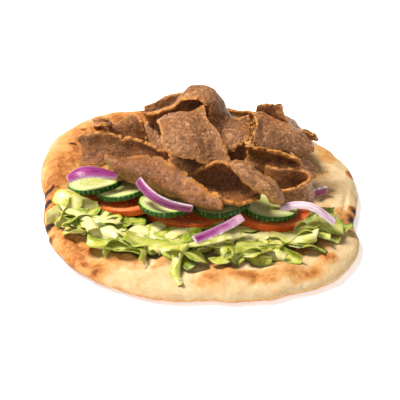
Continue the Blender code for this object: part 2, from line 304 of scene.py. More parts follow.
@dataclass(frozen=True)
class RoastDoner(Finish):
    """Pressed roast meat shaved off a spit: fine grainy and moist, browner and oilier on its seared side,
    which on the hollow insides of some slices is also painted shade.
    """

    name: str = "roast_doner"
    cut_light: str = "#DCA770"
    cut: str = "#A67044"
    cut_dark: str = "#613413"
    seared: str = "#75441D"
    seared_light: str = "#B8783C"
    # the darkest brown: in the seared mottle, and painted shade in the sunk pores
    rim: str = "#DC9340"
    # golden along the edges: partly browning, partly a painted highlight
    pit: str = "#47230F"
    fat: str = "#D9B48A"
    shade: str = "#4A4A4A"
    middle: str = "#BCBCBC"
    light: str = "#F4F4F4"
    crumble: float = 0.55
    grain_mm: float = 2.2
    mottle_mm: float = 9.0
    patch_mm: float = 6.0
    pore_gap_mm: float = 3.9
    fleck_mm: float = 1.7
    crumb_mm: float = 0.9  # the real crumb is finer; this is about the finest that shows

    def paint(self, tree: Tree, shader: bpy.types.Node, place: Socket) -> None:
        """Grey-brown cut face, orange-brown seared face (also painted shade on hollow insides), golden rims
        (partly a painted highlight), pores darkened as painted shade, and fat specks.

        Args:
            tree: the material's nodes.
            shader: the shader they end in.
            place: where a point is, in metres.
        """
        seared, rim = self.carried(tree, ("seared", "rim"))
        along = self.drawn_out(tree, "strip_place", (0.7, 1.0, 1.0))
        fibres = self.grains(tree, along, ((self.grain_mm, 5.0, 0.68, 0.5),))[0]
        mottle, fine, patches, flecks = self.grains(tree, place, (
            (self.mottle_mm, 5.0, 0.6, 0.4), (self.crumb_mm, 3.0, 0.6, 0.0),
            (self.patch_mm, 2.0, 0.55, 0.0), (self.fleck_mm, 2.0, 0.5, 0.0)))
        pores = node(tree, "TexVoronoi", {"Vector": place, "Scale": 1 / (self.pore_gap_mm * MM)})
        pit = node(tree, "MapRange", {0: pores, 1: 0.10, 2: 0.26, 3: 1.0, 4: 0.0}, **SMOOTH)
        pit = broken(tree, pit, patches, 0.48, 0.62)
        stops = ((0.30, self.cut_dark), (0.50, self.cut), (0.70, self.cut_light))
        cut = node(tree, "ValToRGB", {0: fibres}, stops=stops)
        cut = laid(tree, cut, self.cut_dark, mottle, 0.35, 0.70, 0.0, 0.5)
        stops = ((0.22, self.pit), (0.50, self.seared), (0.80, self.seared_light))
        dark = node(tree, "ValToRGB", {0: mottle}, stops=stops)
        dark = laid(tree, dark, self.seared_light, fibres, 0.40, 0.70, 0.0, 0.45)
        # Where the seared colour covers: real searing, and painted shade where the seared face lines the
        # hollow side of a slice, such as the scoop and the cone.
        seared_and_shade_cover = broken(tree, seared, mottle, 0.25, 0.60, 0.55, 1.1)
        meat = node(tree, "Mix", {0: seared_and_shade_cover, UNDER: cut, OVER: dark}, MIXED, **COLOURS)
        stops = ((0.32, self.shade), (0.50, self.middle), (0.66, self.light))
        crumbs = node(tree, "ValToRGB", {0: fine}, stops=stops)
        meat = node(tree, "Mix", {0: self.crumble, UNDER: meat, OVER: crumbs}, MIXED,
                    blend_type="OVERLAY", **COLOURS)
        meat = laid(tree, meat, self.fat, flecks, 0.66, 0.74, 0.0, 0.55)
        # Golden rims along every edge: partly browned edges, partly a painted highlight where thin edges
        # catch the light.
        edge = broken(tree, rim, fibres, 0.28, 0.62, 0.35, 1.1)
        # The sunk pores are darkened as well as sunk: painted shade in them.
        deep, hollow = (node(tree, "Math", {0: pit, 1: share}, operation="MULTIPLY", use_clamp=True)
                        for share in (0.8, 0.9))
        for mask, colour in ((edge, self.rim), (deep, self.pit)):
            meat = node(tree, "Mix", {0: mask, UNDER: meat, OVER: colour}, MIXED, **COLOURS)
        grease, oil = (node(tree, "MapRange", {0: mask, 1: low, 2: high, 3: least, 4: most}, **SMOOTH)
                       for mask, low, high, least, most in (
                           (fine, 0.35, 0.65, 0.0, 0.20), (mottle, 0.40, 0.58, 0.16, 0.34)))
        gloss = node(tree, "Math", {0: grease, 1: oil}, operation="ADD", use_clamp=True)
        height = node(tree, "Math", {0: fibres, 1: hollow}, operation="SUBTRACT", use_clamp=True)
        normal = self.relief(tree, shader, ((mottle, 2.4), (height, 1.5), (fine, 0.55)))
        feed(tree, shader, {"Base Color": meat, "Roughness": gloss, "IOR": 1.40, "Specular IOR Level": 0.5,
                            "Subsurface Weight": 0.08, "Subsurface Radius": (0.003, 0.0012, 0.0008),
                            "Subsurface Scale": 0.5, "Coat Weight": 0.30, "Coat Roughness": 0.24,
                            "Coat Normal": normal})


class RoundSlice(Finish):
    """The finish of a round slice, which knows each point's distance and turn from the middle."""

    def polar(self, tree: Tree, lobes: float) -> tuple[Socket, Socket]:
        """The slice's own polar place.

        Args:
            tree: the node tree.
            lobes: how many times the wave goes up and down in 2 pi of turn.

        Returns:
            The distance from the middle as a share of the radius, and the wave round it from -1 to 1.
        """
        place = self.carried(tree, ("slice_place",), "Vector")[0]
        radius, turn = (node(tree, "SeparateXYZ", {0: place}, out) for out in "XY")
        lobed = node(tree, "Math", {0: turn, 1: lobes}, operation="MULTIPLY")
        return radius, node(tree, "Math", {0: lobed}, operation="SINE")


@dataclass(frozen=True)
class Cucumber(RoundSlice):
    """Raw cucumber: dark green peel with pale stripes, and wet translucent flesh with pale seeds."""

    name: str = "raw_cucumber"
    peel: str = "#1E4A17"
    peel_stripe: str = "#7FA64A"
    under_peel: str = "#A9C56A"
    flesh: str = "#D2D49C"
    heart: str = "#BFC17C"
    seed: str = "#E2E0B4"
    seed_gap: str = "#AEBB66"
    stripes: float = 34.0
    seeds_across: float = 6.5

    def paint(self, tree: Tree, shader: bpy.types.Node, place: Socket) -> None:
        """Rings of peel, rind and flesh round a seedy heart, from the slice's own polar place.

        Args:
            tree: the material's nodes.
            shader: the shader they end in.
            place: where a point is, in metres.
        """
        radius, wave = self.polar(tree, self.stripes)
        mottle, clouds, film, fine = self.grains(tree, place, (
            (2.2, 3.0, 0.55, 0.0), (5.0, 4.0, 0.6, 0.0), (3.5, 3.0, 0.55, 0.0), (1.2, 3.0, 0.55, 0.0)))
        stripe, patch = (node(tree, "MapRange", {0: mask, 1: low, 2: high, 3: 0.0, 4: 0.55}, **SMOOTH)
                         for mask, low, high in ((wave, 0.1, 0.9), (mottle, 0.45, 0.70)))
        ragged = node(tree, "Math", {0: stripe, 1: patch}, operation="ADD", use_clamp=True)
        peel = laid(tree, self.peel, self.peel_stripe, ragged, 0.45, 1.0, 0.0, 0.85)
        face = self.drawn_out(tree, "slice_flat", (1.0, 1.0, 0.0))
        cells = node(tree, "TexVoronoi", {"Vector": face, "Scale": self.seeds_across, "Randomness": 0.8})
        seeds = node(tree, "MapRange", {0: cells, 1: 0.16, 2: 0.34, 3: 1.0, 4: 0.0}, **SMOOTH)
        seeded = broken(tree, broken(tree, seeds, radius, 0.18, 0.30), radius, 0.50, 0.64, 1.0, 0.0)
        heart = node(tree, "ValToRGB", {0: clouds}, stops=((0.35, self.seed_gap), (0.60, self.heart)))
        flesh = laid(tree, self.flesh, self.heart, clouds, 0.35, 0.65, 0.0, 0.35)
        flesh = laid(tree, flesh, heart, radius, 0.52, 0.66, 1.0, 0.0)
        flesh = node(tree, "Mix", {0: seeded, UNDER: flesh, OVER: self.seed}, MIXED, **COLOURS)
        flesh = laid(tree, flesh, self.under_peel, radius, 0.80, 0.93)
        wet = node(tree, "MapRange", {0: film, 1: 0.40, 2: 0.62, 3: 0.16, 4: 0.40}, **SMOOTH)
        feed(tree, shader, {"Base Color": laid(tree, flesh, peel, radius, 0.945, 0.975),
                            "Roughness": wet, "IOR": 1.38, "Subsurface Weight": 0.25,
                            "Subsurface Radius": (0.004, 0.004, 0.0015), "Subsurface Scale": 0.8})
        self.relief(tree, shader, ((seeds, 0.35), (clouds, 0.5), (fine, 0.14)))


@dataclass(frozen=True)
class Tomato(RoundSlice):
    """Ripe tomato: tight glossy orange-red skin over wet flesh with paler walls."""

    name: str = "ripe_tomato"
    skin: str = "#D4501A"
    skin_light: str = "#E6702C"
    flesh: str = "#DE682C"
    wall: str = "#E9945C"
    jelly: str = "#C84F1E"
    seed: str = "#E6BE7C"
    chambers: float = 5.0
    seed_gap_mm: float = 4.2

    def paint(self, tree: Tree, shader: bpy.types.Node, place: Socket) -> None:
        """Skin round the rim, pale walls between jelly chambers, and seeds in the chambers.

        Args:
            tree: the material's nodes.
            shader: the shader they end in.
            place: where a point is, in metres.
        """
        radius, wave = self.polar(tree, self.chambers)
        clouds, fine = self.grains(tree, place, ((9.0, 4.0, 0.6, 0.0), (2.0, 4.0, 0.6, 0.0)))
        chamber = node(tree, "MapRange", {0: wave, 1: -0.35, 2: 0.25, 3: 0.0, 4: 1.0}, **SMOOTH)
        chamber = broken(tree, broken(tree, chamber, radius, 0.26, 0.36), radius, 0.72, 0.80, 1.0, 0.0)
        cells = node(tree, "TexVoronoi", {"Vector": place, "Scale": 1 / (self.seed_gap_mm * MM)})
        seeds = broken(tree, chamber, cells, 0.20, 0.32, 1.0, 0.0)
        wall = node(tree, "MapRange", {0: radius, 1: 0.84, 2: 0.90, 3: 0.0, 4: 1.0}, **SMOOTH)
        wall = broken(tree, wall, fine, 0.35, 0.6, 0.2, 0.7)
        stops = ((0.30, self.jelly), (0.52, self.flesh), (0.78, self.wall))
        flesh = node(tree, "ValToRGB", {0: clouds}, stops=stops)
        for mask, colour in ((chamber, self.jelly), (seeds, self.seed), (wall, self.wall)):
            flesh = node(tree, "Mix", {0: mask, UNDER: flesh, OVER: colour}, MIXED, **COLOURS)
        skin = node(tree, "ValToRGB", {0: clouds}, stops=((0.35, self.skin), (0.70, self.skin_light)))
        wet = node(tree, "MapRange", {0: fine, 1: 0.35, 2: 0.65, 3: 0.18, 4: 0.36}, **SMOOTH)
        feed(tree, shader, {"Base Color": laid(tree, flesh, skin, radius, 0.955, 0.985),
                            "Roughness": wet, "IOR": 1.40, "Subsurface Weight": 0.25,
                            "Subsurface Radius": (0.004, 0.0018, 0.0008), "Subsurface Scale": 0.8})
        self.relief(tree, shader, ((chamber, -0.5), (clouds, 0.4), (fine, 0.12)))


@dataclass(frozen=True)
class RedOnion(Finish):
    """Raw red onion: shiny purple outer skin with fine veins, and pale pink flesh at the cut edges."""

    name: str = "red_onion"
    skin: str = "#7E2366"
    skin_deep: str = "#5C1349"
    skin_light: str = "#A14A8C"
    flesh: str = "#EADBE2"
    blush: str = "#D39BC4"
    vein_mm: float = 1.1  # real veins lie closer together; these are as fine as shows
    cloud_mm: float = 12.0

    def paint(self, tree: Tree, shader: bpy.types.Node, place: Socket) -> None:
        """Veined purple on the outer face, pale flesh on the inner face and along the cut edges.

        Args:
            tree: the material's nodes.
            shader: the shader they end in.
            place: where a point is, in metres.
        """
        outer, rim = self.carried(tree, ("seared", "rim"))
        along = self.drawn_out(tree, "strip_place", (0.06, 1.0, 1.0))
        veins = self.grains(tree, along, ((self.vein_mm, 3.0, 0.6, 0.0),))[0]
        clouds = self.grains(tree, place, ((self.cloud_mm, 3.0, 0.55, 0.0),))[0]
        stops = ((0.32, self.skin_deep), (0.50, self.skin), (0.70, self.skin_light))
        skin = node(tree, "ValToRGB", {0: veins}, stops=stops)
        skin = laid(tree, skin, self.skin_light, clouds, 0.40, 0.65, 0.0, 0.35)
        pale = laid(tree, self.flesh, self.blush, veins, 0.35, 0.65, 0.1, 0.7)
        edge = node(tree, "Math", {0: rim, 1: 0.9}, operation="MULTIPLY", use_clamp=True)
        layer = node(tree, "Mix", {0: outer, UNDER: pale, OVER: skin}, MIXED, **COLOURS)
        layer = node(tree, "Mix", {0: edge, UNDER: layer, OVER: self.flesh}, MIXED, **COLOURS)
        wet = node(tree, "MapRange", {0: veins, 1: 0.35, 2: 0.65, 3: 0.20, 4: 0.34}, **SMOOTH)
        feed(tree, shader, {"Base Color": layer, "Roughness": wet, "IOR": 1.38, "Subsurface Weight": 0.2,
                            "Subsurface Radius": (0.004, 0.0015, 0.003), "Subsurface Scale": 0.5})
        self.relief(tree, shader, ((veins, 0.25), (clouds, 0.3)))


@dataclass(frozen=True)
class IcebergLettuce(Finish):
    """Shredded iceberg: thin crisp leaf, white at the ribs, yellow-green beyond, darker at the frills."""

    name: str = "iceberg_lettuce"
    rib: str = "#DDD89C"
    leaf: str = "#B3B640"
    green: str = "#7E931C"
    deep: str = "#3C5A0E"
    vein_mm: float = 3.2
    cloud_mm: float = 8.0
    fine_mm: float = 1.4

    def paint(self, tree: Tree, shader: bpy.types.Node, place: Socket) -> None:
        """From rib to frill by the shred's own greenness, with branching veins and a wet surface.

        Args:
            tree: the material's nodes.
            shader: the shader they end in.
            place: where a point is, in metres.
        """
        green = self.carried(tree, ("greenness",))[0]
        along = self.drawn_out(tree, "strip_place", (0.4, 1.0, 1.0))
        clouds, fine = self.grains(tree, place, (
            (self.cloud_mm, 4.0, 0.6, 0.0), (self.fine_mm, 3.0, 0.55, 0.0)))
        veins = self.grains(tree, along, ((self.vein_mm, 4.0, 0.6, 0.8),))[0]
        shift, wet = (node(tree, "MapRange", {0: clouds, 1: low, 2: high, 3: least, 4: most}, **SMOOTH)
                      for low, high, least, most in ((0.3, 0.7, -0.16, 0.16), (0.35, 0.65, 0.18, 0.38)))
        uneven = node(tree, "Math", {0: green, 1: shift}, operation="ADD", use_clamp=True)
        stops = ((0.08, self.rib), (0.42, self.leaf), (0.72, self.green), (1.0, self.deep))
        leaf = node(tree, "ValToRGB", {0: uneven}, stops=stops)
        leaf = laid(tree, leaf, self.rib, veins, 0.47, 0.53, 0.0, 0.28)
        feed(tree, shader, {"Base Color": leaf, "Roughness": wet, "IOR": 1.40, "Subsurface Weight": 0.15,
                            "Subsurface Radius": (0.004, 0.004, 0.001), "Subsurface Scale": 0.5})
        self.relief(tree, shader, ((veins, 0.6), (fine, 0.15)))


@dataclass(frozen=True)
class LettuceShade(Finish):
    """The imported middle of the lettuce, which shows only as green shade between the shreds."""

    name: str = "packed_lettuce"
    light: str = "#8FA33A"
    dark: str = "#47601A"
    fold_mm: float = 6.0

    def paint(self, tree: Tree, shader: bpy.types.Node, place: Socket) -> None:
        """Crumpled leaf in two greens.

        Args:
            tree: the material's nodes.
            shader: the shader they end in.
            place: where a point is, in metres.
        """
        folds = self.grains(tree, place, ((self.fold_mm, 5.0, 0.65, 1.2),))[0]
        leaf = node(tree, "ValToRGB", {0: folds}, stops=((0.35, self.dark), (0.62, self.light)))
        feed(tree, shader, {"Base Color": leaf, "Roughness": 0.45})
        self.relief(tree, shader, ((folds, 2.2),))


@dataclass(frozen=True)
class StudioPaper(Finish):
    """Matt white background paper, lit a little from below so that it stays white."""

    name: str = "background_paper"
    white: str = "#FBFBFA"
    fibre: str = "#F7F7F6"
    fibre_mm: float = 8.0  # drawn far coarser than paper fibre, as soft clouds
    glow: float = 0.50

    def paint(self, tree: Tree, shader: bpy.types.Node, place: Socket) -> None:
        """Near-white with the faintest fibre.

        Args:
            tree: the material's nodes.
            shader: the shader they end in.
            place: where a point is, in metres.
        """
        fibres = self.grains(tree, place, ((self.fibre_mm, 2.0, 0.55, 0.0),))[0]
        paper = node(tree, "ValToRGB", {0: fibres}, stops=((0.0, self.fibre), (1.0, self.white)))
        feed(tree, shader, {"Base Color": paper, "Roughness": 0.9, "Specular IOR Level": 0.1,
                            "Emission Color": self.white, "Emission Strength": self.glow})


# ---------------------------------------------------------------------------------------------------
# meshes


def mesh_object(name: str, points: np.ndarray, faces: np.ndarray, finish: Finish,
                values: dict[str, np.ndarray] | None = None) -> bpy.types.Object:
    """A smooth mesh object, with values at its points for the finish to read.

    Args:
        name: the piece's name.
        points: n by 3, in metres.
        faces: m by 4 indices; a triangle repeats its last.
        finish: what it is dressed in.
        values: attribute name to n values, or n by 3.

    Returns:
        The object, linked to the scene.
    """
    mesh = bpy.data.meshes.new(name)
    triangle = faces[:, 2] == faces[:, 3]
    corners = np.where(triangle, 3, 4)
    flat = faces.ravel()
    if triangle.any():
        flat = np.concatenate([face[:count] for face, count in zip(faces, corners)])
    mesh.vertices.add(len(points))
    mesh.vertices.foreach_set("co", points.astype(np.float32).ravel())
    mesh.loops.add(len(flat))
    mesh.loops.foreach_set("vertex_index", flat.astype(np.int32))
    mesh.polygons.add(len(faces))
    mesh.polygons.foreach_set("loop_start", np.concatenate([[0], np.cumsum(corners)[:-1]]).astype(np.int32))
    mesh.update(calc_edges=True)
    mesh.validate()
    mesh.shade_smooth()
    for key, value in (values or {}).items():
        if value.ndim == 2:
            layer = mesh.attributes.new(key, "FLOAT_VECTOR", "POINT")
            layer.data.foreach_set("vector", value.astype(np.float32).ravel())
        else:
            layer = mesh.attributes.new(key, "FLOAT", "POINT")
            layer.data.foreach_set("value", value.astype(np.float32))
    mesh.materials.append(finish.material())
    made = bpy.data.objects.new(name, mesh)
    bpy.context.scene.collection.objects.link(made)
    return made


def grid_faces(rows: int, columns: int, offset: int = 0, flip: bool = False,
               wrap: bool = False) -> np.ndarray:
    """The faces of a grid of points stored row by row.

    Args:
        rows: rows of points.
        columns: points in a row.
        offset: index of the first point.
        flip: whether the faces point the other way.
        wrap: whether each row closes on itself.

    Returns:
        Faces as m by 4 indices.
    """
    i = np.arange(rows - 1)[:, None]
    j = np.arange(columns if wrap else columns - 1)[None, :]
    after = (j + 1) % columns
    corners = [i * columns + j, (i + 1) * columns + j, (i + 1) * columns + after, i * columns + after]
    faces = np.stack(corners, -1).reshape(-1, 4) + offset
    return faces[:, ::-1] if flip else faces


def sheet_faces(rows: int, columns: int) -> np.ndarray:
    """The faces of a closed sheet: an upper grid, then a lower one, joined round their edge.

    Args:
        rows: rows of points in each grid.
        columns: points in a row.

    Returns:
        Faces as m by 4 indices.
    """
    count = rows * columns
    ring = [i * columns for i in range(rows - 1)] + [(rows - 1) * columns + j for j in range(columns - 1)]
    ring += [i * columns + columns - 1 for i in range(rows - 1, 0, -1)] + list(range(columns - 1, 0, -1))
    here = np.array(ring)
    following = np.roll(here, -1)
    edge = np.stack([following, here, here + count, following + count], -1)
    return np.concatenate([grid_faces(rows, columns), grid_faces(rows, columns, count, flip=True), edge])


def wobble(place: np.ndarray, size: float, seed: float, octaves: int = 2) -> np.ndarray:
    """Smooth noise.

    Args:
        place: points in millimetres, in any grid.
        size: how far across its features are, in millimetres.
        seed: which noise.
        octaves: how many finer layers it has.

    Returns:
        About -1 to 1 at each point.
    """
    roughness, finer = 0.9, 2.1
    flat = place.reshape(-1, 3) / size + (seed, -seed, 2 * seed)
    values = [noise.fractal(Vector(p), roughness, finer, octaves) for p in flat]
    return np.array(values).reshape(place.shape[:-1])


def turned(vectors: np.ndarray, axis: np.ndarray, angle: float) -> np.ndarray:
    """A vector turned about a unit axis by an angle in radians."""
    return (vectors * math.cos(angle) + np.cross(axis, vectors) * math.sin(angle)
            + axis * (axis @ vectors) * (1 - math.cos(angle)))


@dataclass(frozen=True)
class Strip:
    """A thin strip that curls. It starts at the middle of one end and runs forwards from there.

    heading is yaw, pitch and roll in degrees. Each of bends is spread over an equal stretch of the length,
    fan turns the strip sideways and twist rolls it over its whole length, widths are at even stations, and
    crown raises its middle above its edges.
    """

    name: str
    length: float
    widths: tuple[float, ...]
    start: tuple[float, float, float]
    heading: tuple[float, float, float]
    bends: tuple[float, ...] = (0,)
    fan: float = 0.0
    twist: float = 0.0
    crown: float = 0.0

    def frames(self, steps: int) -> tuple[np.ndarray, np.ndarray, np.ndarray]:
        """Walks along the strip, turning as its bends, fan and twist say.

        Args:
            steps: how many even steps it takes.

        Returns:
            Places, side directions and upward directions, one more than the steps.
        """
        yaw, pitch, roll = (math.radians(a) for a in self.heading)
        level = math.cos(pitch)
        forward = np.array([math.cos(yaw) * level, math.sin(yaw) * level, math.sin(pitch)])
        side = turned(np.array([-math.sin(yaw), math.cos(yaw), 0.0]), forward, roll)
        up = np.cross(forward, side)
        place = np.array(self.start, float)
        places, sides, ups = [], [], []
        stretch = steps / len(self.bends)
        for step in range(steps + 1):
            places.append(place.copy())
            sides.append(side)
            ups.append(up)
            bend = math.radians(self.bends[min(int(step / stretch), len(self.bends) - 1)]) / stretch
            forward, up = turned(forward, side, -bend), turned(up, side, -bend)
            fan = math.radians(self.fan) / steps
            forward, side = turned(forward, up, fan), turned(side, up, fan)
            twist = math.radians(self.twist) / steps
            side, up = turned(side, forward, twist), turned(up, forward, twist)
            place = place + forward * (self.length / steps)
        return np.array(places), np.array(sides), np.array(ups)


@dataclass
class Sheet:
    """The fine mesh of a strip: a closed sheet with torn ends and ragged, rounded edges.

    In millimetres: cell is the mesh size, ragged how deep the edges are torn, lumps, grain and flutter the
    heights of its swelling, its grain and its loose edges, cup how far its edges curl away from its middle,
    and drift how far it strays from the strip. All sheets stray by one field, so neighbours stay apart.
    The fields in mm say how far across each unevenness is. rounding is the share of the thickness over which
    an edge rounds off, end_pinch how much narrower the ends are, and steps how finely the strip is walked.
    """

    strip: Strip
    thickness: float
    cell: float = 1.15
    ragged: float = 2.6
    lumps: float = 0.75
    grain: float = 0.30
    flutter: float = 1.3
    cup: float = 0.0
    drift: float = 3.4
    rim_width: float = 1.3
    steps: int = 96
    rounding: float = 0.36
    end_pinch: float = 0.10
    end_reach: float = 16.0  # how far apart the tears at the two sides of an end are read
    lump_mm: float = 8.0
    flutter_mm: float = 15.0
    grain_mm: float = 1.9
    drift_mm: float = 27.0

    def surface(self) -> tuple[np.ndarray, np.ndarray, np.ndarray, np.ndarray]:
        """The middle surface.

        Returns:
            Points, unit normals, the distance to the nearest edge, and the place along and across, all in
            millimetres, as grids.
        """
        strip = self.strip
        rows = max(12, int(strip.length / self.cell))
        columns = max(9, int(max(strip.widths) / self.cell))
        places, sides, ups = strip.frames(self.steps)
        seed = float(sum(map(ord, strip.name)) % 97)
        s = np.linspace(0, 1, rows + 1)[:, None] * np.ones(columns + 1)
        t = np.linspace(-1, 1, columns + 1)[None, :] * np.ones((rows + 1, 1))
        sides_torn = np.array([[self._tear(u * strip.length, seed + k) for k in (0, 11)] for u in s[:, 0]])
        ends_torn = np.array([[self._tear(v * self.end_reach, seed + k) for k in (31, 38)] for v in t[0]])
        width = np.interp(s, np.linspace(0, 1, len(strip.widths)), strip.widths)
        margin = np.where(t < 0, sides_torn[:, :1], sides_torn[:, 1:])
        pinch = 1 - self.end_pinch * np.abs(2 * s - 1) ** 8
        across = t * pinch * (1 - 2 * margin / np.maximum(width, 6))
        first, last = ends_torn.T / strip.length
        along = s * (1 - first - last) + first
        at = along * self.steps
        low = np.clip(at.astype(int), 0, self.steps - 1)
        share = (at - low)[..., None]
        place, side, up = (a[low] * (1 - share) + a[low + 1] * share for a in (places, sides, ups))
        width = np.interp(along, np.linspace(0, 1, len(strip.widths)), strip.widths)
        points = place + side * (across * width / 2)[..., None]
        points = points + up * (strip.crown * (0.5 - across**2) - self.cup * (across**2 - 0.3))[..., None]
        normal = np.cross(np.gradient(points, axis=0), np.gradient(points, axis=1))
        normal /= np.linalg.norm(normal, axis=2, keepdims=True)
        edge = np.minimum((1 - np.abs(t)) * width / 2, np.minimum(s, 1 - s) * strip.length)
        flat = np.stack([along * strip.length, across * width / 2, np.full_like(s, seed)], -1)
        return points, normal, edge, flat

    def _tear(self, place: float, seed: float) -> float:
        """How far the edge is torn back: slow and quick waves, with a deep notch here and there.

        Args:
            place: how far along the edge, in millimetres.
            seed: which edge.

        Returns:
            The depth in millimetres.
        """
        slow = 0.5 + 0.5 * noise.noise(Vector((place / 9.0, seed, 0)))
        quick = abs(noise.noise(Vector((place / 2.3, seed, 5))))
        notch = max(0.0, noise.noise(Vector((place / 5.5, seed, 9))) - 0.28)
        return self.ragged * (0.55 * slow**2 + 0.75 * quick + 3.0 * notch)

    def build(self, finish: Finish) -> bpy.types.Object:
        """Gives the sheet its thickness, lumps and grain, centred on its node's box.

        Args:
            finish: what it is dressed in.

        Returns:
            The sheet's object.
        """
        points, normal, edge, flat = self.surface()
        inward = 1 - np.clip(edge / (self.thickness * self.rounding), 0, 1)
        half = self.thickness / 2 * np.sqrt(np.clip(1 - inward**2, 0, 1))
        seed = flat[0, 0, 2]
        swell = self.lumps * wobble(points, self.lump_mm, seed)
        loose = smoothstep(9.0, 0.0, edge)
        swell = swell + self.flutter * wobble(points, self.flutter_mm, seed + 5) * loose
        thin = np.clip(edge / 2.0, 0.15, 1)
        points = points + normal * swell[..., None]
        stray = np.stack([wobble(points, self.drift_mm, own) for own in (50.0, 59.0, 68.0)], -1)
        points = points + self.drift * stray
        grain, under_grain = (self.grain * wobble(flat, self.grain_mm, own, 3) * thin
                              for own in (seed, seed + 40))
        upper = points + normal * (half + grain)[..., None]
        lower = points - normal * (half - under_grain)[..., None]
        both = np.concatenate([upper.reshape(-1, 3), lower.reshape(-1, 3)])
        count = edge.size
        # Which face is seared: real searing, and on the hollow insides of the scoop and the cone also painted
        # shade.
        cut_up = float(self.strip.name in CUT_SIDE_UP)
        outer = np.concatenate([np.full(count, 1 - cut_up), np.full(count, cut_up)])
        rim = np.tile(np.exp(-np.maximum(edge, 0) / self.rim_width).ravel(), 2)
        low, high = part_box(self.strip.name)
        middle = (both.min(0) + both.max(0)) / 2
        both = both * MM + (np.array((low + high) / 2) - middle * MM)
        strip_place = np.tile(flat.reshape(-1, 3), (2, 1)) * MM
        return mesh_object(f"{self.strip.name}_piece", both, sheet_faces(*edge.shape), finish,
                           {"seared": outer, "rim": rim, "strip_place": strip_place})


def dress(piece: bpy.types.Object, nodes: Sequence[str]) -> bpy.types.Object:
    """Puts the piece on the body in place of its CAD nodes.

    Args:
        piece: the piece.
        nodes: the CAD nodes it stands for.

    Returns:
        The piece.
    """
    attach(piece, "root")
    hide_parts(*nodes)
    LOG.info("%s: %d faces, for %s", piece.name, len(piece.data.polygons), ", ".join(nodes))
    return piece


def solid(piece: bpy.types.Object) -> BVHTree:
    """The faces of a piece or of a CAD node, ready for ray casts."""
    mesh = piece.data
    return BVHTree.FromPolygons([v.co for v in mesh.vertices], [tuple(p.vertices) for p in mesh.polygons])


def height_of(hit: Vector | None, otherwise: float) -> float:
    """How high a ray met something, in millimetres, or another height where it met nothing."""
    return hit.z / MM if hit else otherwise


# ---------------------------------------------------------------------------------------------------
# naan


@dataclass(frozen=True)
class Mark:
    """A place on the naan in millimetres, with its half sizes, its turn in degrees and its strength."""

    x: float
    y: float
    length: float
    width: float
    turn: float = 0.0
    strength: float = 1.0

    def share(self, x: np.ndarray, y: np.ndarray, sharp: float = 2.0) -> np.ndarray:
        """The mark's strength at places: full in its middle, fading over its half sizes.

        Args:
            x: places to the right, in millimetres.
            y: places away, in millimetres.
            sharp: 2 for a soft hill, and more for a flatter top with steeper sides.

        Returns:
            The strength at each place.
        """
        angle = math.radians(self.turn)
        u = ((x - self.x) * math.cos(angle) + (y - self.y) * math.sin(angle)) / self.length
        v = (-(x - self.x) * math.sin(angle) + (y - self.y) * math.cos(angle)) / self.width
        return self.strength * np.exp(-(u * u + v * v) ** (sharp / 2))


# the outline's radius in millimetres at even turns, anticlockwise from the right
NAAN_RADII = (132, 134, 135, 134, 134, 134, 133, 139, 149, 152, 148, 136,
              125, 127, 130, 131, 131, 131, 130, 135, 141, 148, 143, 128)


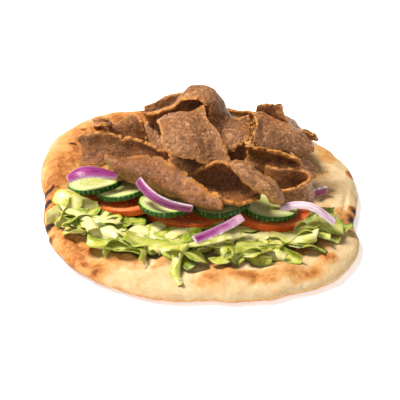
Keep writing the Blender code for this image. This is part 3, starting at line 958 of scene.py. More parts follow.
@dataclass
class Naan:
    """The naan: flat below, with a puffed, folded and blistered rim.

    Heights are in millimetres. rim_start, rim_crest and foot_edge are shares of the radius, equator is a
    share of the rim's height, and waves are heights, sizes and seeds of the unevenness all over the top.
    """

    centre_thickness: float = 9.0
    rim_height: float = 14.0
    back_left_puff: float = 8.0
    puff_angle: float = 140.0
    puff_spread: float = 52.0
    rim_start: float = 0.58
    rim_crest: float = 0.88
    foot_edge: float = 0.93
    equator: float = 0.42
    highest: float = 40.0
    edge_wave: float = 1.7
    waves: tuple[tuple[float, float, float], ...] = ((2.4, 26.0, 3.0), (1.0, 11.0, 8.0), (0.22, 3.6, 5.0))
    rings: int = 150
    spokes: int = 420
    bubbles: int = 60
    raised: tuple[Mark, ...] = (
        Mark(-122, 8, 9, 8, 0, 2.4), Mark(-123, -11, 9, 6, 0, 2.6), Mark(-122, -26, 9, 6, 0, 2.4),
        Mark(-120, -40, 9, 5, -10, 2.2), Mark(-114, -56, 9, 7, -25, 2.6), Mark(-104, -76, 9, 7, -40, 2.2),
        Mark(-88, -88, 6, 6, 0, 2.6), Mark(-104, -78, 11, 7, -40, 1.6), Mark(-77, -104, 7, 6, 0, 1.6),
        Mark(-60, -88, 14, 8, 10, 1.1), Mark(15, -113, 16, 7, 8, 1.7), Mark(62, -106, 14, 6, 15, 2.2),
        Mark(36, -112, 9, 6, 0, 1.8),
        Mark(-20, -112, 20, 8, 0, 1.1), Mark(96, -78, 14, 10, 40, 1.4), Mark(112, 10, 12, 16, 0, 1.5),
        Mark(108, 62, 14, 18, 25, 1.4), Mark(-118, -30, 8, 12, 0, 1.8), Mark(-116, 12, 9, 16, 0, 1.7),
        Mark(-70, 96, 26, 14, 35, 1.2), Mark(0, 112, 26, 10, 0, 1.5), Mark(64, 98, 24, 12, -30, 1.3),
        Mark(-30, 82, 18, 12, 0, 1.0), Mark(40, 70, 16, 14, 0, 1.0), Mark(-98, 60, 14, 16, 0, 1.2))
    creases: tuple[Mark, ...] = (
        Mark(-104, 28, 30, 2.6, 22, 3.2), Mark(-118, -8, 16, 2.0, 10, 3.0),
        Mark(-112, -48, 18, 2.2, -28, 2.6),
        Mark(40, -122, 10, 2.2, 70, 3.2), Mark(86, 6, 40, 2.4, -52, 2.2), Mark(-96, -70, 12, 2.0, -50, 2.2),
        Mark(6, -104, 16, 2.0, 6, 1.8), Mark(-60, 112, 20, 2.2, 30, 1.8), Mark(40, 116, 22, 2.2, -18, 1.8),
        Mark(118, -18, 16, 2.0, 80, 2.0), Mark(-124, -19, 10, 1.8, 0, 3.0), Mark(-124, -2, 10, 1.8, 0, 3.0),
        Mark(-124, -33, 9, 1.6, 0, 2.4), Mark(-119, -47, 9, 1.8, -10, 3.0))
    golden: tuple[Mark, ...] = (
        Mark(-96, 66, 30, 18, 40, 0.95), Mark(-112, 22, 16, 26, 0, 0.9), Mark(-119, -28, 12, 26, 0, 1.0),
        Mark(-96, -72, 16, 10, -40, 0.9), Mark(-88, -88, 9, 8, 0, 1.2), Mark(-77, -103, 9, 7, 0, 1.1),
        Mark(-104, -88, 14, 8, -50, 0.9), Mark(-50, -100, 16, 7, -10, 0.35), Mark(38, -114, 10, 6, 8, 1.0),
        Mark(54, -114, 7, 5, 0, 0.9),
        Mark(84, -108, 12, 6, 30, 1.0), Mark(98, -92, 8, 5, 30, 0.7), Mark(8, -120, 9, 4, 0, 0.6),
        Mark(16, -100, 10, 6, 0, 0.55), Mark(70, -84, 14, 9, 20, 0.65), Mark(82, -76, 12, 8, 0, 0.7),
        Mark(100, -60, 14, 10, 40, 0.55), Mark(118, -40, 10, 18, 10, 0.85), Mark(96, 30, 14, 8, -30, 0.6),
        Mark(88, 14, 9, 6, 0, 0.5), Mark(112, 60, 12, 20, 20, 0.5), Mark(30, 112, 22, 9, 0, 0.9),
        Mark(-20, 116, 26, 10, 0, 0.7), Mark(-62, 104, 24, 14, 30, 0.8), Mark(78, 96, 18, 12, -30, 0.6),
        Mark(-36, 84, 18, 10, 0, 0.4), Mark(52, 66, 16, 9, 20, 0.4), Mark(-84, 40, 12, 9, 0, 0.45),
        Mark(4, 70, 14, 9, 0, 0.35), Mark(-124, 0, 8, 12, 0, 0.8))
    chars: tuple[Mark, ...] = (
        Mark(-122, -2, 7, 3.0, 0, 1.5), Mark(-122, -19, 6, 4.4, 0, 1.5), Mark(-126, -33, 4, 3, 0, 0.9),
        Mark(-118, -47, 7, 4, 0, 1.5), Mark(-116, -62, 4, 3, 0, 0.8), Mark(-107, 61, 4, 2.6, 0, 1.0),
        Mark(-88, -83, 4, 2.4, 0, 0.6), Mark(-76, -105, 5, 3.4, 0, 0.62), Mark(-86, -96, 5, 2, -30, 0.7),
        Mark(35, 112, 7, 3.0, 0, 1.2), Mark(123, -38, 3.6, 8, 10, 1.2), Mark(126, -22, 4, 4, 0, 1.2),
        Mark(-100, 84, 4, 3, 0, 0.7), Mark(-46, 120, 6, 3, 0, 0.8), Mark(86, 104, 5, 3, -40, 0.7),
        Mark(0, 126, 7, 3, 0, 0.8), Mark(127, 30, 3, 6, 0, 0.6))

    def _bubbles(self) -> list[Mark]:
        """Small bubbles scattered over the uncovered ring, more of them round the left rim.

        Returns:
            The bubbles, as raised marks.
        """
        draw = np.random.default_rng(5)
        found = []
        for _ in range(self.bubbles):
            angle = draw.normal(math.pi, 1.5)
            out = draw.uniform(92, 128)
            size = draw.uniform(3.0, 8.0)
            width, turn = size * draw.uniform(0.7, 1.0), draw.uniform(0, 180)
            x, y = out * math.cos(angle), out * math.sin(angle)
            found.append(Mark(x, y, size, width, turn, draw.uniform(0.14, 0.34) * size))
        return found

    def _radius(self, angle: np.ndarray) -> np.ndarray:
        """The outline's radius, by a smooth curve through NAAN_RADII.

        Args:
            angle: turns in radians.

        Returns:
            The radius at each, in millimetres.
        """
        count = len(NAAN_RADII)
        place = (angle / math.tau * count) % count
        first = place.astype(int)
        share = place - first
        radii = np.array(NAAN_RADII, float)
        before, here, after, later = (radii[(first + k) % count] for k in (-1, 0, 1, 2))
        slope_here, slope_after, rise = (after - before) / 2, (later - here) / 2, after - here
        return (here + slope_here * share + (3 * rise - 2 * slope_here - slope_after) * share**2
                + (slope_here + slope_after - 2 * rise) * share**3)

    def _rim(self, angle: np.ndarray) -> np.ndarray:
        """How high the rim stands at each angle, in millimetres."""
        away = np.abs((angle - math.radians(self.puff_angle) + math.pi) % math.tau - math.pi)
        return self.rim_height + self.back_left_puff * np.exp(-((away / math.radians(self.puff_spread)) ** 2))

    def _heights(self, share: np.ndarray, angle: np.ndarray,
                 place: np.ndarray) -> tuple[np.ndarray, np.ndarray, np.ndarray]:
        """The naan's section: a puffed rim that rounds down to the table, with bubbles and folds on it.

        Args:
            share: how far out each point is, from 0 in the middle to 1 at the outline.
            angle: each point's turn, in radians.
            place: each point, in millimetres.

        Returns:
            The heights of the top, of the underside and of the relief on the top, in millimetres.
        """
        x, y = place[..., 0], place[..., 1]
        rim = self._rim(angle)
        equator = self.equator * rim
        rise = smoothstep(self.rim_start, self.rim_crest, share)
        inner = self.centre_thickness + (rim - self.centre_thickness) * rise
        outward = np.clip((share - self.rim_crest) / (1 - self.rim_crest), 0, 1)
        outer = equator + (rim - equator) * np.sqrt(np.clip(1 - outward**2, 0, 1))
        top = np.where(share <= self.rim_crest, inner, outer)
        relief = sum(height * wobble(place, size, seed) for height, size, seed in self.waves)
        for mark in (*self._bubbles(), *self.raised):
            relief = relief + mark.share(x, y, 3.0)
        for mark in self.creases:
            relief = relief - mark.share(x + 1.5 * wobble(place, 12.0, 4.0), y, 2.0)
        # the relief fades out at the outline, and stays low where the toppings lie
        relief = relief * smoothstep(1.0, 0.90, share)
        free = np.maximum(smoothstep(0.60, 0.74, share), smoothstep(20, 60, y))
        top = top + relief * (0.25 + 0.75 * free)
        top = np.minimum(top, np.where(free > 0.02, self.highest, self.centre_thickness + 0.25))
        inward = np.clip((share - self.foot_edge) / (1 - self.foot_edge), 0, 1)
        return top, equator * (1 - np.sqrt(np.clip(1 - inward**2, 0, 1))), relief

    def build(self) -> bpy.types.Object:
        """Builds and dresses the naan: rings of points on top, fewer below, and a middle point to each.

        Returns:
            The naan's piece.
        """
        fine = np.linspace(0, math.tau, 720, endpoint=False)
        outline = self._radius(fine)
        centre = [(v.min() + v.max()) / 2 for v in (outline * np.cos(fine), outline * np.sin(fine))]
        shares = np.sin(np.linspace(0, math.pi / 2, self.rings + 1)[1:]) ** 0.9  # closer together at the rim
        share = shares[:, None] * np.ones(self.spokes)
        angle = np.linspace(0, math.tau, self.spokes, endpoint=False) * np.ones((self.rings, 1))
        radius = share * self._radius(angle)
        x, y = radius * np.cos(angle) - centre[0], radius * np.sin(angle) - centre[1]
        place = np.stack([x, y, np.zeros_like(x)], -1)
        top, bottom, relief = self._heights(share, angle, place)
        uneven = 1 + self.edge_wave * wobble(place, 17.0, 2.0) * smoothstep(0.9, 1.0, share) / NAAN_RADII[0]
        x, y = x * uneven, y * uneven
        upper = np.stack([x, y, top], -1).reshape(-1, 3)
        keep = np.arange(0, self.rings, 3)
        keep = keep[keep < self.rings - 1]
        under = np.stack([x, y, bottom], -1)[keep].reshape(-1, 3)
        count = len(upper)
        points = np.concatenate([upper, under, [[-centre[0], -centre[1], self.centre_thickness]],
                                 [[-centre[0], -centre[1], 0.0]]])
        j = np.arange(self.spokes)
        k = (j + 1) % self.spokes
        last, lower = (self.rings - 1) * self.spokes, count + (len(keep) - 1) * self.spokes
        top_pole, low_pole = len(points) - 2, len(points) - 1
        faces = np.concatenate([
            grid_faces(self.rings, self.spokes, 0, wrap=True),
            grid_faces(len(keep), self.spokes, count, flip=True, wrap=True),
            np.stack([last + j, lower + j, lower + k, last + k], -1),
            np.stack([np.full_like(j, top_pole), j, k, k], -1),
            np.stack([np.full_like(j, low_pole), count + k, count + j, count + j], -1)])
        crest = np.concatenate([relief.ravel(), np.zeros(len(points) - relief.size)])
        golden, char, flour = self._bake(points, crest)
        low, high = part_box("naan")
        middle = (points.min(0) + points.max(0)) / 2
        shift = np.array((low + high) / 2) - middle * MM
        shift[2] = low.z - points[:, 2].min() * MM
        made = mesh_object("naan_piece", points * MM + shift, faces, BakedNaan(),
                           {"golden": golden, "char": char, "flour": flour})
        return dress(made, ["naan"])

    def _bake(self, points: np.ndarray, crest: np.ndarray) -> tuple[np.ndarray, np.ndarray, np.ndarray]:
        """How far the naan is baked, with painted shade low on the rim's side counted in with the golden.

        Args:
            points: n by 3, in millimetres.
            crest: how high each point's relief stands, in millimetres.

        Returns:
            How golden, how charred and how floury each point is.
        """
        x, y, z = points.T
        out = np.hypot(x, y) / NAAN_RADII[0]
        left = smoothstep(-60, -125, x)
        golden = 0.04 + 0.20 * wobble(points, 16.0, 12.0, 3)
        golden = golden + 0.06 * left * smoothstep(0.72, 0.95, out)
        golden = golden + 0.34 * smoothstep(0.4, 2.2, crest) * smoothstep(0.45, 0.8, out)  # on what stands up
        golden = golden + 0.16 * smoothstep(30, 110, y) + 0.05 * smoothstep(-70, -112, y)  # far and near rim
        # Browner low on the rim's side, down to the table: partly the browned underside, partly painted shade
        # where the rim meets the table.
        golden = golden + 0.5 * smoothstep(0.6, 0.2, (z - 1.5) / 9.0) * smoothstep(0.9, 0.99, out)  # low side
        bent_x, bent_y = x + 3 * wobble(points, 15.0, 21.0), y + 3 * wobble(points, 15.0, 25.0)
        for mark in self.golden:
            golden = golden + 0.80 * mark.share(bent_x, bent_y)
        golden = golden + 0.35 * smoothstep(1.5, 0.2, z)  # underside
        char = np.zeros_like(x)
        near_x, near_y = x + 2 * wobble(points, 5.0, 31.0), y + 2 * wobble(points, 5.0, 35.0)
        for mark in self.chars:
            char = np.maximum(char, mark.share(near_x, near_y, 2.0))
        flour = np.clip(0.45 + 0.6 * wobble(points, 20.0, 40.0), 0, 1)
        return np.clip(golden, 0, 1.2), np.clip(char, 0, 1.3), flour


# ---------------------------------------------------------------------------------------------------
# round slices


@dataclass(frozen=True)
class Slice:
    """A round slice: its node, radius and thickness in millimetres, and its tilt about X and Y in degrees."""

    name: str
    radius: float
    thickness: float
    tilt: tuple[float, float]


@dataclass
class RoundSlices:
    """Slices of one kind of vegetable."""

    slices: tuple[Slice, ...]
    finish: Finish
    slot: str
    ripple: float = 0.35
    dip: float = 0.3
    sides: int = 120

    def build(self) -> None:
        """Builds and dresses each slice."""
        for item in self.slices:
            dress(self._slice(item), [item.name])

    def _slice(self, item: Slice) -> bpy.types.Object:
        """One slice: a profile turned round, a little out of round, tilted and put in its node's box.

        Args:
            item: the slice.

        Returns:
            Its object.
        """
        half, radius = item.thickness / 2, item.radius
        rounding = min(1.2, half * 0.6)
        top = [(r, half) for r in np.linspace(0.02, 1, 34) * (radius - rounding)]
        turn = np.linspace(0, math.pi / 2, 6)[1:]
        corner = [(radius - rounding * (1 - math.sin(a)), half - rounding * (1 - math.cos(a))) for a in turn]
        wall = [(radius, z) for z in np.linspace(half - rounding, -half + rounding, 6)[1:-1]]
        profile = top + corner + wall
        profile += [(r, -z) for r, z in reversed(corner)] + [(r, -z) for r, z in reversed(top)]
        angles = np.linspace(0, math.tau, self.sides, endpoint=False)
        uneven = np.random.default_rng(len(item.name) + int(sum(map(ord, item.name))))
        phases = uneven.uniform(0, math.tau, 3)
        distance = np.array([p[0] for p in profile])[:, None] * np.ones(self.sides)
        level = np.array([p[1] for p in profile])[:, None] * np.ones(self.sides)
        angle = angles[None, :]
        round_off = 1 + 0.012 * np.sin(2 * angle + phases[0]) + 0.008 * np.sin(5 * angle + phases[1])
        x, y = distance * round_off * np.cos(angle), distance * round_off * np.sin(angle)
        place = np.stack([x, y, np.full_like(x, phases[2] * 9)], -1)
        inside = smoothstep(0.97, 0.85, distance / radius)
        bumps = self.ripple * wobble(place, 6.5, phases[0])
        bumps = bumps - self.dip * smoothstep(0.75, 0.2, distance / radius)
        level = level + np.sign(level) * bumps * inside
        points = np.stack([x, y, level], -1).reshape(-1, 3)
        count = len(points)
        points = np.concatenate([points, [[0, 0, half - self.dip], [0, 0, -half + self.dip]]])
        j = np.arange(self.sides)
        k = (j + 1) % self.sides
        final = (len(profile) - 1) * self.sides
        faces = [grid_faces(len(profile), self.sides, 0, wrap=True),
                 np.stack([np.full_like(j, count), j, k, k], -1),
                 np.stack([np.full_like(j, count + 1), final + k, final + j, final + j], -1)]
        turns = np.broadcast_to(angle + phases[1], distance.shape)
        slice_place = np.stack([distance / radius, turns, level / half], -1).reshape(-1, 3)
        slice_place = np.concatenate([slice_place, [[0, 0, 1], [0, 0, -1]]])
        flat = np.concatenate([(place / radius).reshape(-1, 3), [[0, 0, 0], [0, 0, 0]]])
        about_x, about_y = (math.radians(lean) for lean in item.tilt)
        tilt = Matrix.Rotation(about_y, 3, "Y") @ Matrix.Rotation(about_x, 3, "X")
        points = points @ np.array(tilt).T
        low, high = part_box(item.name)
        middle = (points.min(0) + points.max(0)) / 2
        points = points * MM + (np.array((low + high) / 2) - middle * MM)
        return mesh_object(f"{item.name}_piece", points, np.concatenate(faces), self.finish,
                           {"slice_place": slice_place, "slice_flat": flat})


TOMATO_SLICES = tuple(Slice(name, 36.5, 6.0, tilt) for name, tilt in (
    ("tomato_middle", (-5, 0)), ("tomato_left", (-7, -5)), ("tomato_right", (-4, 6))))
CUCUMBER_SLICES = tuple(Slice(name, 22.3, 4.5, tilt) for name, tilt in (
    ("cucumber_5", (-7, 5)), ("cucumber_4", (-8, -9)), ("cucumber_3", (-6, 0)),
    ("cucumber_2", (-12, -9)), ("cucumber_1", (-12, -9))))


# ---------------------------------------------------------------------------------------------------
# doner and onion

SHAVINGS = (
    # under and behind the pile
    Strip("meat_base_left", 80, (24, 32, 26), (-76, 46, 15), (-3, 4, 10), (4, 4, -14, -8), crown=2),
    Strip("meat_base_right", 78, (24, 32, 26), (10, 36.2, 16.5), (-3, 6, 8), (-6, 0, 0, -16), crown=2),
    Strip("meat_rear_1", 60, (29, 23, 23, 27), (8.6, 57.8, 50), (7, 16, -43),
          (-30, -20, -26, -9), 0, 22, 1.1),
    Strip("meat_rear_2", 50, (25, 29, 30, 23), (45, 36, 57.8), (13, -24, -35),
          (8, -21, -14, 2), 0, 15, 0.4),
    Strip("meat_rear_3", 62, (28, 29, 23, 31), (-7.3, 56.6, 56.5), (25, 11, -35),
          (-31, 6, -19, -10), 0, -5, 0.9),
    Strip("meat_rear_4", 51, (21, 24, 29, 25), (54.1, 54.6, 55.3), (-16, 3, -20),
          (-14, -33, -23), 0, -17, 3.1),
    Strip("meat_rear_5", 61, (22, 27, 28, 26), (-70, 56, 35.1), (-5, 15, 19),
          (-30, 16, -4, -8), 0, 0, 3.1),
    Strip("meat_rear_6", 54, (22, 29, 29, 26), (-53.5, 21.1, 25.5), (56, 13, 14),
          (17, -5, -23), 0, 15, 0.8),
    Strip("meat_rear_7", 50, (31, 30, 27, 29), (-16.8, 17.4, 63.9), (-55, 14, -2),
          (-3, -26, 15), 0, 12, 2.9),
    Strip("meat_rear_8", 58, (26, 23, 28, 23), (45.1, 1.6, 57.7), (6, -24, 5),
          (-11, 11, -32, -21), 0, -12, 2.4),
    Strip("meat_rear_9", 51, (31, 29, 23, 22), (-72.4, 5.4, 31), (-33, 16, -13),
          (0, 14, -16), 0, 11, 2.2),
    Strip("meat_behind_arch", 52, (15, 25, 38, 40), (-41, 54, 57), (-31, 16, 76), (-7, -28, -14), -10, 4),
    Strip("meat_standing_behind", 22, (14, 19, 18), (38, 16, 51.6), (76, 54, -43), (12, 6), 15, 5),
    Strip("meat_torn_top_right", 41, (36, 35, 27, 20), (61.2, 18.5, 46.4), (94, 78, -20),
          (12, 2, 3), 7, 7, -0.8),
    Strip("meat_right_curl", 18, (10, 13, 9), (81, 17, 57.3), (-8, 11, 103), (6, 14, 48)),
    Strip("meat_left_curl", 82, (21, 32, 11, 8, 8, 8), (-41, 22, 57.3), (120, -12, -102),
          (26, 7, 6, 79, 125, 96), 1, 75, 2.9),
    Strip("meat_arch", 112, (27, 27, 32, 26, 21, 19), (-38, 22.5, 61.3), (-20, 27, -81),
          (41, 3, -75, -62, 52, 21), -27, 157, 2.9),
    # the middle of the pile
    Strip("meat_left_wall", 81, (24, 32, 24, 24, 27), (-99, 28, 34.3), (-42, 24, 75),
          (-50, 26, 2, -4), -21, 29, 1.8),
    Strip("meat_big_face", 55, (38, 32, 24, 17), (42, -0, 77), (10, -32, 25), (15, 4, -45), -9, 29, 1.4),
    Strip("meat_centre_face", 48, (67, 53, 44, 35), (16.2, -8.7, 76.5), (195, -20, -24),
          (47, -12, -11, -15), -10, 5, 2.8),
    Strip("meat_centre_flap", 37, (27, 29, 22, 9), (-24.6, -14.9, 57.1), (6, -18, 22),
          (-17, 12, 31, 14), -9, 4, 0.8),
    Strip("meat_under_middle", 50, (26, 30, 26), (-8, 6, 39.3), (0, 2, 50), (6, -10, 8), crown=2),
    Strip("meat_low_wall_right", 48, (18, 21, 18, 13), (36, -13.3, 57.9), (-14, -1, 98),
          (3, 7, -4, 34), 5, -7, -1.6),
    Strip("meat_low_tip_right", 19, (15, 16, 8), (80, -9, 44.3), (18, -26, 36), (-7, 3), -13, 24),
    # the front of the pile
    Strip("meat_scoop", 49, (60, 58, 51, 37), (20.3, -58.6, 47.7), (85, -58, 12),
          (48, 64, 54, 48), 31, -43, -2.6),
    Strip("meat_right_cone", 79, (32, 29, 28, 26, 18, 9), (54.4, -26.7, 41.7), (-63, 9, 89),
          (-38, -37, 85, 101, 29, -6), -4, 36, 0.2),
    Strip("meat_hook", 55, (12, 14, 18, 15, 10), (27.4, -49.2, 72.6), (-57, 6, 55),
          (-38, -4, -45, -69), -12, -42, 6),
    Strip("meat_front_roll", 107, (7, 20, 28, 28, 19, 11), (-70, -11.7, 54.2), (-52, 10, 35),
          (-31, 1, 2, -17), 9, 87, 3.8),
)

# slices that lie with their freshly cut side up and their seared side down; the others show the darker seared
# face on top, which on the hollow insides of the scoop and the cone is also painted shade
CUT_SIDE_UP = ("meat_big_face", "meat_centre_face", "meat_centre_flap", "meat_hook", "meat_torn_top_right",
               "meat_arch", "meat_standing_behind", "meat_right_curl", "meat_rear_6",
               "meat_rear_5", "meat_rear_7", "meat_rear_2", "meat_rear_4", "meat_low_tip_right")

ONIONS = (
    Strip("onion_far_left", 41, (8, 12, 13, 12, 8), (-101, -33.1, 46.8), (2, 45, 22),
          (-28, -29, -9, -2), -10, -17, 1.7),
    Strip("onion_long_arc", 52, (8, 8, 8, 8, 8), (-45, -43, 52.3), (-68, -10, 59),
          (-28, -30, -12), 14, 30, 0.9),
    Strip("onion_front", 42, (8, 8, 8, 8), (-2, -88, 28.3), (28, 2, 24),
          (12, 11), 2, -10, -0.1),
    Strip("onion_right_arc", 46, (8, 8, 8, 8), (63, -64, 39.3), (10, 25, -9),
          (-25, -35, -5), -23, 5, 2.9),
    Strip("onion_far_right", 12, (8, 8, 8), (94, -12, 19.3), (26, 12, 96),
          (10, 9), -9, 0, -0.1),
)


@dataclass
class Shavings:
    """The pile of doner.

    cupped says how far a slice's edges curl away from its middle, in millimetres. The slice behind the arch
    is drawn a little longer and less torn than its node, so that nothing shows between it and the arch.
    """

    strips: tuple[Strip, ...] = SHAVINGS
    thickness: float = 3.2
    reach_behind_arch: float = 9.0
    torn_behind_arch: float = 0.6
    finish: Finish = field(default_factory=RoastDoner)
    cupped: dict[str, float] = field(default_factory=lambda: {
        "meat_centre_face": 9.0, "meat_big_face": 6.0, "meat_front_roll": 9.0, "meat_torn_top_right": -4.0,
        "meat_left_wall": -4.5, "meat_centre_flap": 4.0, "meat_scoop": -5.0, "meat_hook": 5.0,
        "meat_arch": 3.0, "meat_low_wall_right": -3.0, "meat_under_middle": -3.0})

    def build(self) -> None:
        """Builds and dresses each slice."""
        for strip in self.strips:
            sheet = Sheet(strip, self.thickness, cup=self.cupped.get(strip.name, 0.0))
            if strip.name == "meat_behind_arch":
                sheet = replace(sheet, strip=replace(strip, length=strip.length + self.reach_behind_arch),
                                ragged=self.torn_behind_arch)
            dress(sheet.build(self.finish), [strip.name])


@dataclass
class Onions:
    """The strips of red onion, each a slice through one curved layer."""

    strips: tuple[Strip, ...] = ONIONS
    thickness: float = 2.4
    finish: Finish = field(default_factory=RedOnion)
    inner: Finish = field(
        default_factory=lambda: RedOnion("inner_red_onion", "#D8BBCB", "#B57FA2", "#EADCE0"))

    def build(self) -> None:
        """Builds and dresses each strip; the one from an inner layer is paler."""
        for strip in self.strips:
            pale = strip.name == "onion_right_arc"
            sheet = Sheet(strip, self.thickness, cell=0.6, ragged=0.15, lumps=0.12, grain=0.03, flutter=0.1,
                          drift=0.0, rim_width=0.7)
            dress(sheet.build(self.inner if pale else self.finish), [strip.name])


# ---------------------------------------------------------------------------------------------------
# lettuce


class Leafiness(Enum):
    """Which part of the head a shred comes from, as its greenness at the middle and at the frill."""

    RIB = (0.02, 0.30)
    PALE = (0.16, 0.50)
    LEAF = (0.36, 0.74)
    DARK = (0.62, 1.0)


@dataclass(frozen=True)
class Shred:
    """A shred of lettuce: its place and size in millimetres, and its turn, curl and twist in degrees."""

    x: float
    y: float
    length: float
    width: float
    turn: float
    lift: float
    curl: float
    twist: float
    kind: Leafiness
    seed: int


@dataclass
class Lettuce:
    """A heap of shredded lettuce over a small packed middle."""

    naan: bpy.types.Object
    inset: float = 14.0
    half_span: float = 114.0
    scattered: int = 50
    thickness: float = 0.6
    leading: tuple[Shred, ...] = (
        Shred(-96, -32, 38, 16, -20, 5, 30, 30, Leafiness.PALE, 1),
        Shred(-84, -47, 52, 17, -12, 5, 50, 40, Leafiness.PALE, 2),
        Shred(-92, -55, 34, 14, -50, 3, 60, 20, Leafiness.LEAF, 3),
        Shred(-58, -48, 36, 18, -30, 7, 150, 60, Leafiness.DARK, 4),
        Shred(-66, -60, 34, 15, 20, 5, 120, -60, Leafiness.DARK, 5),
        Shred(-42, -62, 24, 13, 15, 6, 40, 20, Leafiness.RIB, 6),
        Shred(-22, -64, 24, 12, 40, 7, 60, 40, Leafiness.LEAF, 7),
        Shred(-30, -82, 52, 25, -22, 5, 35, 30, Leafiness.LEAF, 8),
        Shred(-12, -92, 42, 20, -52, 3, 30, -30, Leafiness.LEAF, 9),
        Shred(-50, -80, 26, 12, -60, 4, 70, 40, Leafiness.PALE, 10),
        Shred(20, -72, 34, 17, -70, 6, 80, 60, Leafiness.PALE, 11),
        Shred(31, -84, 36, 15, 60, 6, 90, -50, Leafiness.LEAF, 12),
        Shred(47, -70, 26, 12, 20, 8, 60, 30, Leafiness.RIB, 13),
        Shred(56, -82, 52, 17, 62, 5, 40, 40, Leafiness.PALE, 14),
        Shred(44, -96, 26, 10, -30, 3, 60, 60, Leafiness.LEAF, 15),
        Shred(70, -76, 24, 13, -60, 6, 80, -40, Leafiness.RIB, 16),
        Shred(80, -66, 44, 21, 12, 6, 40, 20, Leafiness.LEAF, 17),
        Shred(96, -62, 34, 17, 12, 4, 50, 40, Leafiness.LEAF, 18),
        Shred(93, -48, 30, 16, 24, 7, 70, 60, Leafiness.LEAF, 19),
        Shred(86, -82, 26, 10, -20, 3, 60, -60, Leafiness.DARK, 20))

    def build(self) -> None:
        """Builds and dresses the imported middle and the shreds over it."""
        dress(self._packed_middle(), ["lettuce_heap"])
        dress(self._shreds(), ["lettuce_heap"])

    def _edges(self, share: float) -> tuple[float, float]:
        """The heap's front and back edge.

        Args:
            share: the place across, from -1 at the left to 1 at the right.

        Returns:
            The two edges, as y in millimetres.
        """
        wave = 6 * math.sin(7 * share + 1) + 5 * math.sin(17 * share)
        tip = 12 * math.exp(-((share + 0.06) / 0.05) ** 2)
        front = -100 + 38 * share**2 + wave - tip
        back = -30 + 10 * share**2 - 36 * math.exp(-((share - 0.62) / 0.3) ** 2)
        return front, back

    def _packed_middle(self) -> bpy.types.Object:
        """The CAD heap drawn in from its outline, so that the shreds cover it.

        Returns:
            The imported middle's object.
        """
        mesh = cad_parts["lettuce_heap"].data
        points = np.array([v.co for v in mesh.vertices]) / MM
        floor = solid(self.naan)
        for k, (x, y, z) in enumerate(points):
            share = float(np.clip(x / self.half_span, -1, 1))
            front, back = self._edges(share * 0.94)
            points[k, 0] = x * 0.90
            points[k, 1] = max(y, front + self.inset) if y < (front + back) / 2 else min(y, back + 4)
            over = Vector((points[k, 0], points[k, 1], ABOVE_ALL)) * MM
            ground = height_of(floor.ray_cast(over, DOWN)[0], 9.0)
            points[k, 2] = ground + 0.2 + 0.55 * max(0.0, z - ground)
        faces = [list(p.vertices) + [p.vertices[-1]] * (4 - len(p.vertices)) for p in mesh.polygons]
        return mesh_object("lettuce_packed_middle", points * MM, np.array(faces), LettuceShade())

    def _all(self) -> list[Shred]:
        """The leading shreds and the scattered ones between them.

        Returns:
            The shreds.
        """
        draw = np.random.default_rng(11)
        shreds = list(self.leading)
        kinds = list(Leafiness)
        for k in range(self.scattered):
            share = draw.uniform(-0.93, 0.86)
            front, back = self._edges(share)
            depth = draw.beta(1.1, 2.0)
            y = front + 5 + (back - front - 8) * depth
            kind = kinds[int(draw.choice(4, p=(0.14, 0.28, 0.40, 0.18)))]
            shreds.append(Shred(share * self.half_span, y, draw.uniform(30, 56), draw.uniform(11, 20),
                                draw.uniform(-75, 75), draw.uniform(0.5, 6) * min(1.0, 0.35 + 2.0 * depth),
                                draw.uniform(-150, 190), draw.uniform(-140, 140), kind, 100 + k))
        return shreds

    def _shreds(self) -> bpy.types.Object:
        """All the shreds as one mesh.

        Returns:
            The shreds' object.
        """
        covers = [solid(made) for name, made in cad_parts.items()
                  if name.startswith(("tomato", "cucumber", "onion", "meat"))]
        floor, heap = solid(self.naan), solid(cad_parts["lettuce_heap"])
        parts = [self._shred(shred, floor, heap, covers) for shred in self._all()]
        starts = np.cumsum([0] + [len(part[0]) for part in parts])
        faces = np.concatenate([part[1] + start for part, start in zip(parts, starts)])
        points, green, place = (np.concatenate([part[k] for part in parts]) for k in (0, 2, 3))
        return mesh_object("lettuce_shreds", points * MM, faces, IcebergLettuce(),
                           {"greenness": green, "strip_place": place * MM})

    def _ribbon(self, shred: Shred) -> tuple[np.ndarray, np.ndarray, np.ndarray]:
        """A shred before it settles: a curled, twisted ribbon with ruffled, uneven sides.

        Args:
            shred: the shred.

        Returns:
            Its points, and each point's place along and across, as grids in millimetres, and each point's
            share from the middle line at 0 to the frill at 1.
        """
        draw = np.random.default_rng(shred.seed)
        rows, columns = max(12, int(shred.length / 1.1)), max(9, int(shred.width / 1.0))
        s = np.linspace(0, 1, rows)[:, None] * np.ones(columns)
        t = np.linspace(-1, 1, columns)[None, :] * np.ones((rows, 1))
        frill = np.abs(t)
        heading = math.radians(shred.turn) + draw.uniform(-0.9, 0.9) * (s - 0.5)
        ahead = (s - 0.5) * shred.length
        blunt = np.sin(math.pi * np.clip(s * 0.72 + 0.14, 0, 1)) ** 0.4
        seed = float(shred.seed)
        ragged = np.array([[1 + 0.34 * noise.noise(Vector((u * shred.length / 9.0, seed, k))) for k in (0, 3)]
                           for u in s[:, 0]])
        across = t * shred.width / 2 * blunt * np.where(t < 0, ragged[:, :1], ragged[:, 1:])
        roll = math.radians(shred.twist) * (s - 0.5) + draw.uniform(-0.9, 0.9)
        cup = math.radians(shred.curl) * 0.5
        arc = max(abs(cup), 0.05) * np.maximum(frill, 1e-6)
        sideways = across * np.sin(arc) / arc
        rise = math.copysign(1, cup) * np.abs(across) * (1 - np.cos(arc)) / arc
        ruffle = draw.uniform(1.0, 2.6) * frill**2
        rise = rise + ruffle * np.sin(ahead / draw.uniform(2.4, 4.0) + seed + 2.2 * np.sign(t))
        out = sideways * np.cos(roll) - rise * np.sin(roll)
        x = shred.x + ahead * np.cos(heading) - out * np.sin(heading)
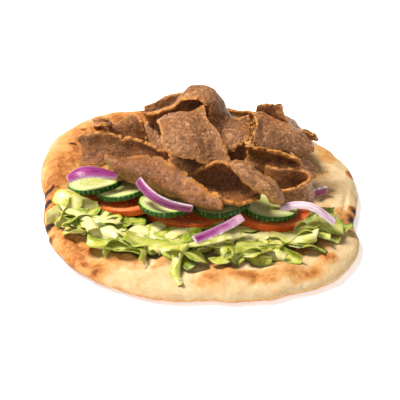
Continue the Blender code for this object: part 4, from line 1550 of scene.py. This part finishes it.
        y = shred.y + ahead * np.sin(heading) + out * np.cos(heading)
        wave = draw.uniform(1.5, 4.0) * np.sin(s * draw.uniform(3, 8) + seed)
        z = rise * np.cos(roll) + sideways * np.sin(roll) + wave
        return np.stack([x, y, z - z.min()], -1), np.stack([ahead, across, np.full_like(s, seed)], -1), frill

    def _settled(self, points: np.ndarray, lift: float, floor: BVHTree, heap: BVHTree,
                 covers: list[BVHTree]) -> np.ndarray:
        """Lets a ribbon down on what is under it, and presses it below what is over it.

        Args:
            points: its points, as a grid in millimetres.
            lift: how far up in the heap it lies, in millimetres.
            floor: the naan.
            heap: the CAD heap, which says how high the lettuce lies.
            covers: everything that lies on the lettuce.

        Returns:
            The points where they come to rest.
        """
        x, y, z = np.moveaxis(points, -1, 0)
        bottoms, ceilings = np.empty_like(x), np.empty_like(x)
        # the heap stays low in front of the tomatoes, so that they show
        room = 24 - 13 * smoothstep(-98, -84, y) * smoothstep(82, 58, np.abs(x - 12))
        for index in np.ndindex(x.shape):
            over = Vector((x[index], y[index], ABOVE_ALL)) * MM
            ground = height_of(floor.ray_cast(over, DOWN)[0], 2.0)
            level = height_of(heap.ray_cast(over, DOWN)[0], ground)
            start = Vector((x[index], y[index], ground + 1.0)) * MM
            tops = [cover.ray_cast(start, UP)[0] for cover in covers]
            ceilings[index] = min([ground + room[index]] + [top.z / MM - 0.9 for top in tops if top])
            bottoms[index] = ground + 0.5 + 0.32 * max(0.0, level - ground)
        base = bottoms.min() * 0.35 + np.median(bottoms) * 0.65
        z = np.maximum(base + z * 0.85 + lift * 0.55, bottoms)
        # up to free it keeps its height, and above that it is squeezed into the rest of the room
        free = 0.55 * (ceilings - bottoms)
        rest = np.maximum(ceilings - bottoms - free, 0.2)
        above = np.maximum(z - bottoms - free, 0)
        squeezed = bottoms + np.minimum(z - bottoms, free) + rest * (1 - np.exp(-above / rest))
        return np.stack([x, y, squeezed], -1)

    def _shred(self, shred: Shred, floor: BVHTree, heap: BVHTree,
               covers: list[BVHTree]) -> tuple[np.ndarray, np.ndarray, np.ndarray, np.ndarray]:
        """One shred in its place, thicker along its rib and thin at its frill.

        Args:
            shred: the shred.
            floor: the naan.
            heap: the CAD heap.
            covers: everything that lies on the lettuce.

        Returns:
            Its points in millimetres, its faces, each point's greenness and its place along and across.
        """
        ribbon, place, frill = self._ribbon(shred)
        points = self._settled(ribbon, shred.lift, floor, heap, covers)
        normal = np.cross(np.gradient(points, axis=0), np.gradient(points, axis=1))
        normal /= np.maximum(np.linalg.norm(normal, axis=2, keepdims=True), 1e-9)
        thin = (0.35 + 0.65 * (1 - frill**3)) * self.thickness / 2
        if shred.kind in (Leafiness.RIB, Leafiness.PALE):
            thin = thin * (1 + 1.3 * np.exp(-(frill / 0.35) ** 2))
        upper, lower = points + normal * thin[..., None], points - normal * thin[..., None]
        both = np.concatenate([upper.reshape(-1, 3), lower.reshape(-1, 3)])
        level = ribbon * (1, 1, 0)
        middle, edge = shred.kind.value
        shade = middle + (edge - middle) * frill**1.4 + 0.10 * wobble(level, 7.0, float(shred.seed))
        faces = sheet_faces(*frill.shape)
        return both, faces, np.tile(shade.ravel(), 2), np.tile(place.reshape(-1, 3), (2, 1))


# ---------------------------------------------------------------------------------------------------
# studio


@dataclass
class Studio:
    """A white floor, a small key light from above left, two soft ones, and the camera."""

    elevation: float = 34.0
    distance: float = 1.0
    target: tuple[float, float, float] = (0.002, -0.022, 0.020)
    lens: float = 112.5
    sensor: float = 36.0
    floor_half: float = 3.0
    floor_gap: float = 0.0002
    sky: float = 0.19

    def build(self) -> None:
        """Builds the floor, the lights and the camera."""
        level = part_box("naan")[0].z - self.floor_gap
        corners = np.array([(x * self.floor_half, y * self.floor_half, level)
                            for x, y in ((-1, -1), (1, -1), (1, 1), (-1, 1))])
        floor = mesh_object("studio_floor", corners, np.array([[0, 1, 2, 3]]), StudioPaper())
        self._camera()
        self._light("key_light", (-0.50, 0.02, 1.08), 0.32, 23.5, "#FFF7EE")
        self._light("fill_light", (0.85, -0.45, 0.75), 0.9, 1.5, "#F6F9FF")
        self._light("front_light", (-0.15, -1.05, 0.80), 0.5, 1.7, "#FFFFFF")
        world = bpy.data.worlds.new("studio")
        bpy.context.scene.world = world
        world.use_nodes = True
        background = world.node_tree.nodes["Background"]
        feed(world.node_tree, background, {"Color": "#FFFFFF", "Strength": self.sky})
        bpy.context.scene.view_settings.view_transform = "Standard"

    def _camera(self) -> None:
        """The camera, looking down at the sandwich."""
        data = bpy.data.cameras.new("camera")
        data.lens, data.sensor_width = self.lens, self.sensor
        made = bpy.data.objects.new("camera", data)
        tilt = math.radians(self.elevation)
        target = Vector(self.target)
        made.location = target + Vector((0, -math.cos(tilt), math.sin(tilt))) * self.distance
        made.rotation_euler = (target - made.location).to_track_quat("-Z", "Y").to_euler()
        bpy.context.scene.collection.objects.link(made)
        bpy.context.scene.camera = made

    def _light(self, name: str, place: tuple[float, float, float], size: float, power: float,
               tint: str) -> None:
        """A soft square light, facing the sandwich.

        Args:
            name: its name.
            place: where it is, in metres.
            size: its side, in metres.
            power: its power, in watts.
            tint: its colour, in sRGB hex.
        """
        data = bpy.data.lights.new(name, "AREA")
        data.shape, data.size, data.energy = "SQUARE", size, power
        data.color = srgb(tint)[:3]
        made = bpy.data.objects.new(name, data)
        made.location = place
        made.rotation_euler = (Vector((0, 0, 0.03)) - made.location).to_track_quat("-Z", "Y").to_euler()
        bpy.context.scene.collection.objects.link(made)


def main() -> None:
    """Builds every sub-assembly in order."""
    logging.basicConfig(level=logging.INFO, format="%(message)s")
    naan = Naan().build()
    RoundSlices(TOMATO_SLICES, Tomato(), "tomato").build()
    RoundSlices(CUCUMBER_SLICES, Cucumber(), "cucumber", ripple=0.25, dip=0.25, sides=110).build()
    Shavings().build()
    Onions().build()
    Lettuce(naan).build()
    Studio().build()


if __name__ == "__main__":
    main()
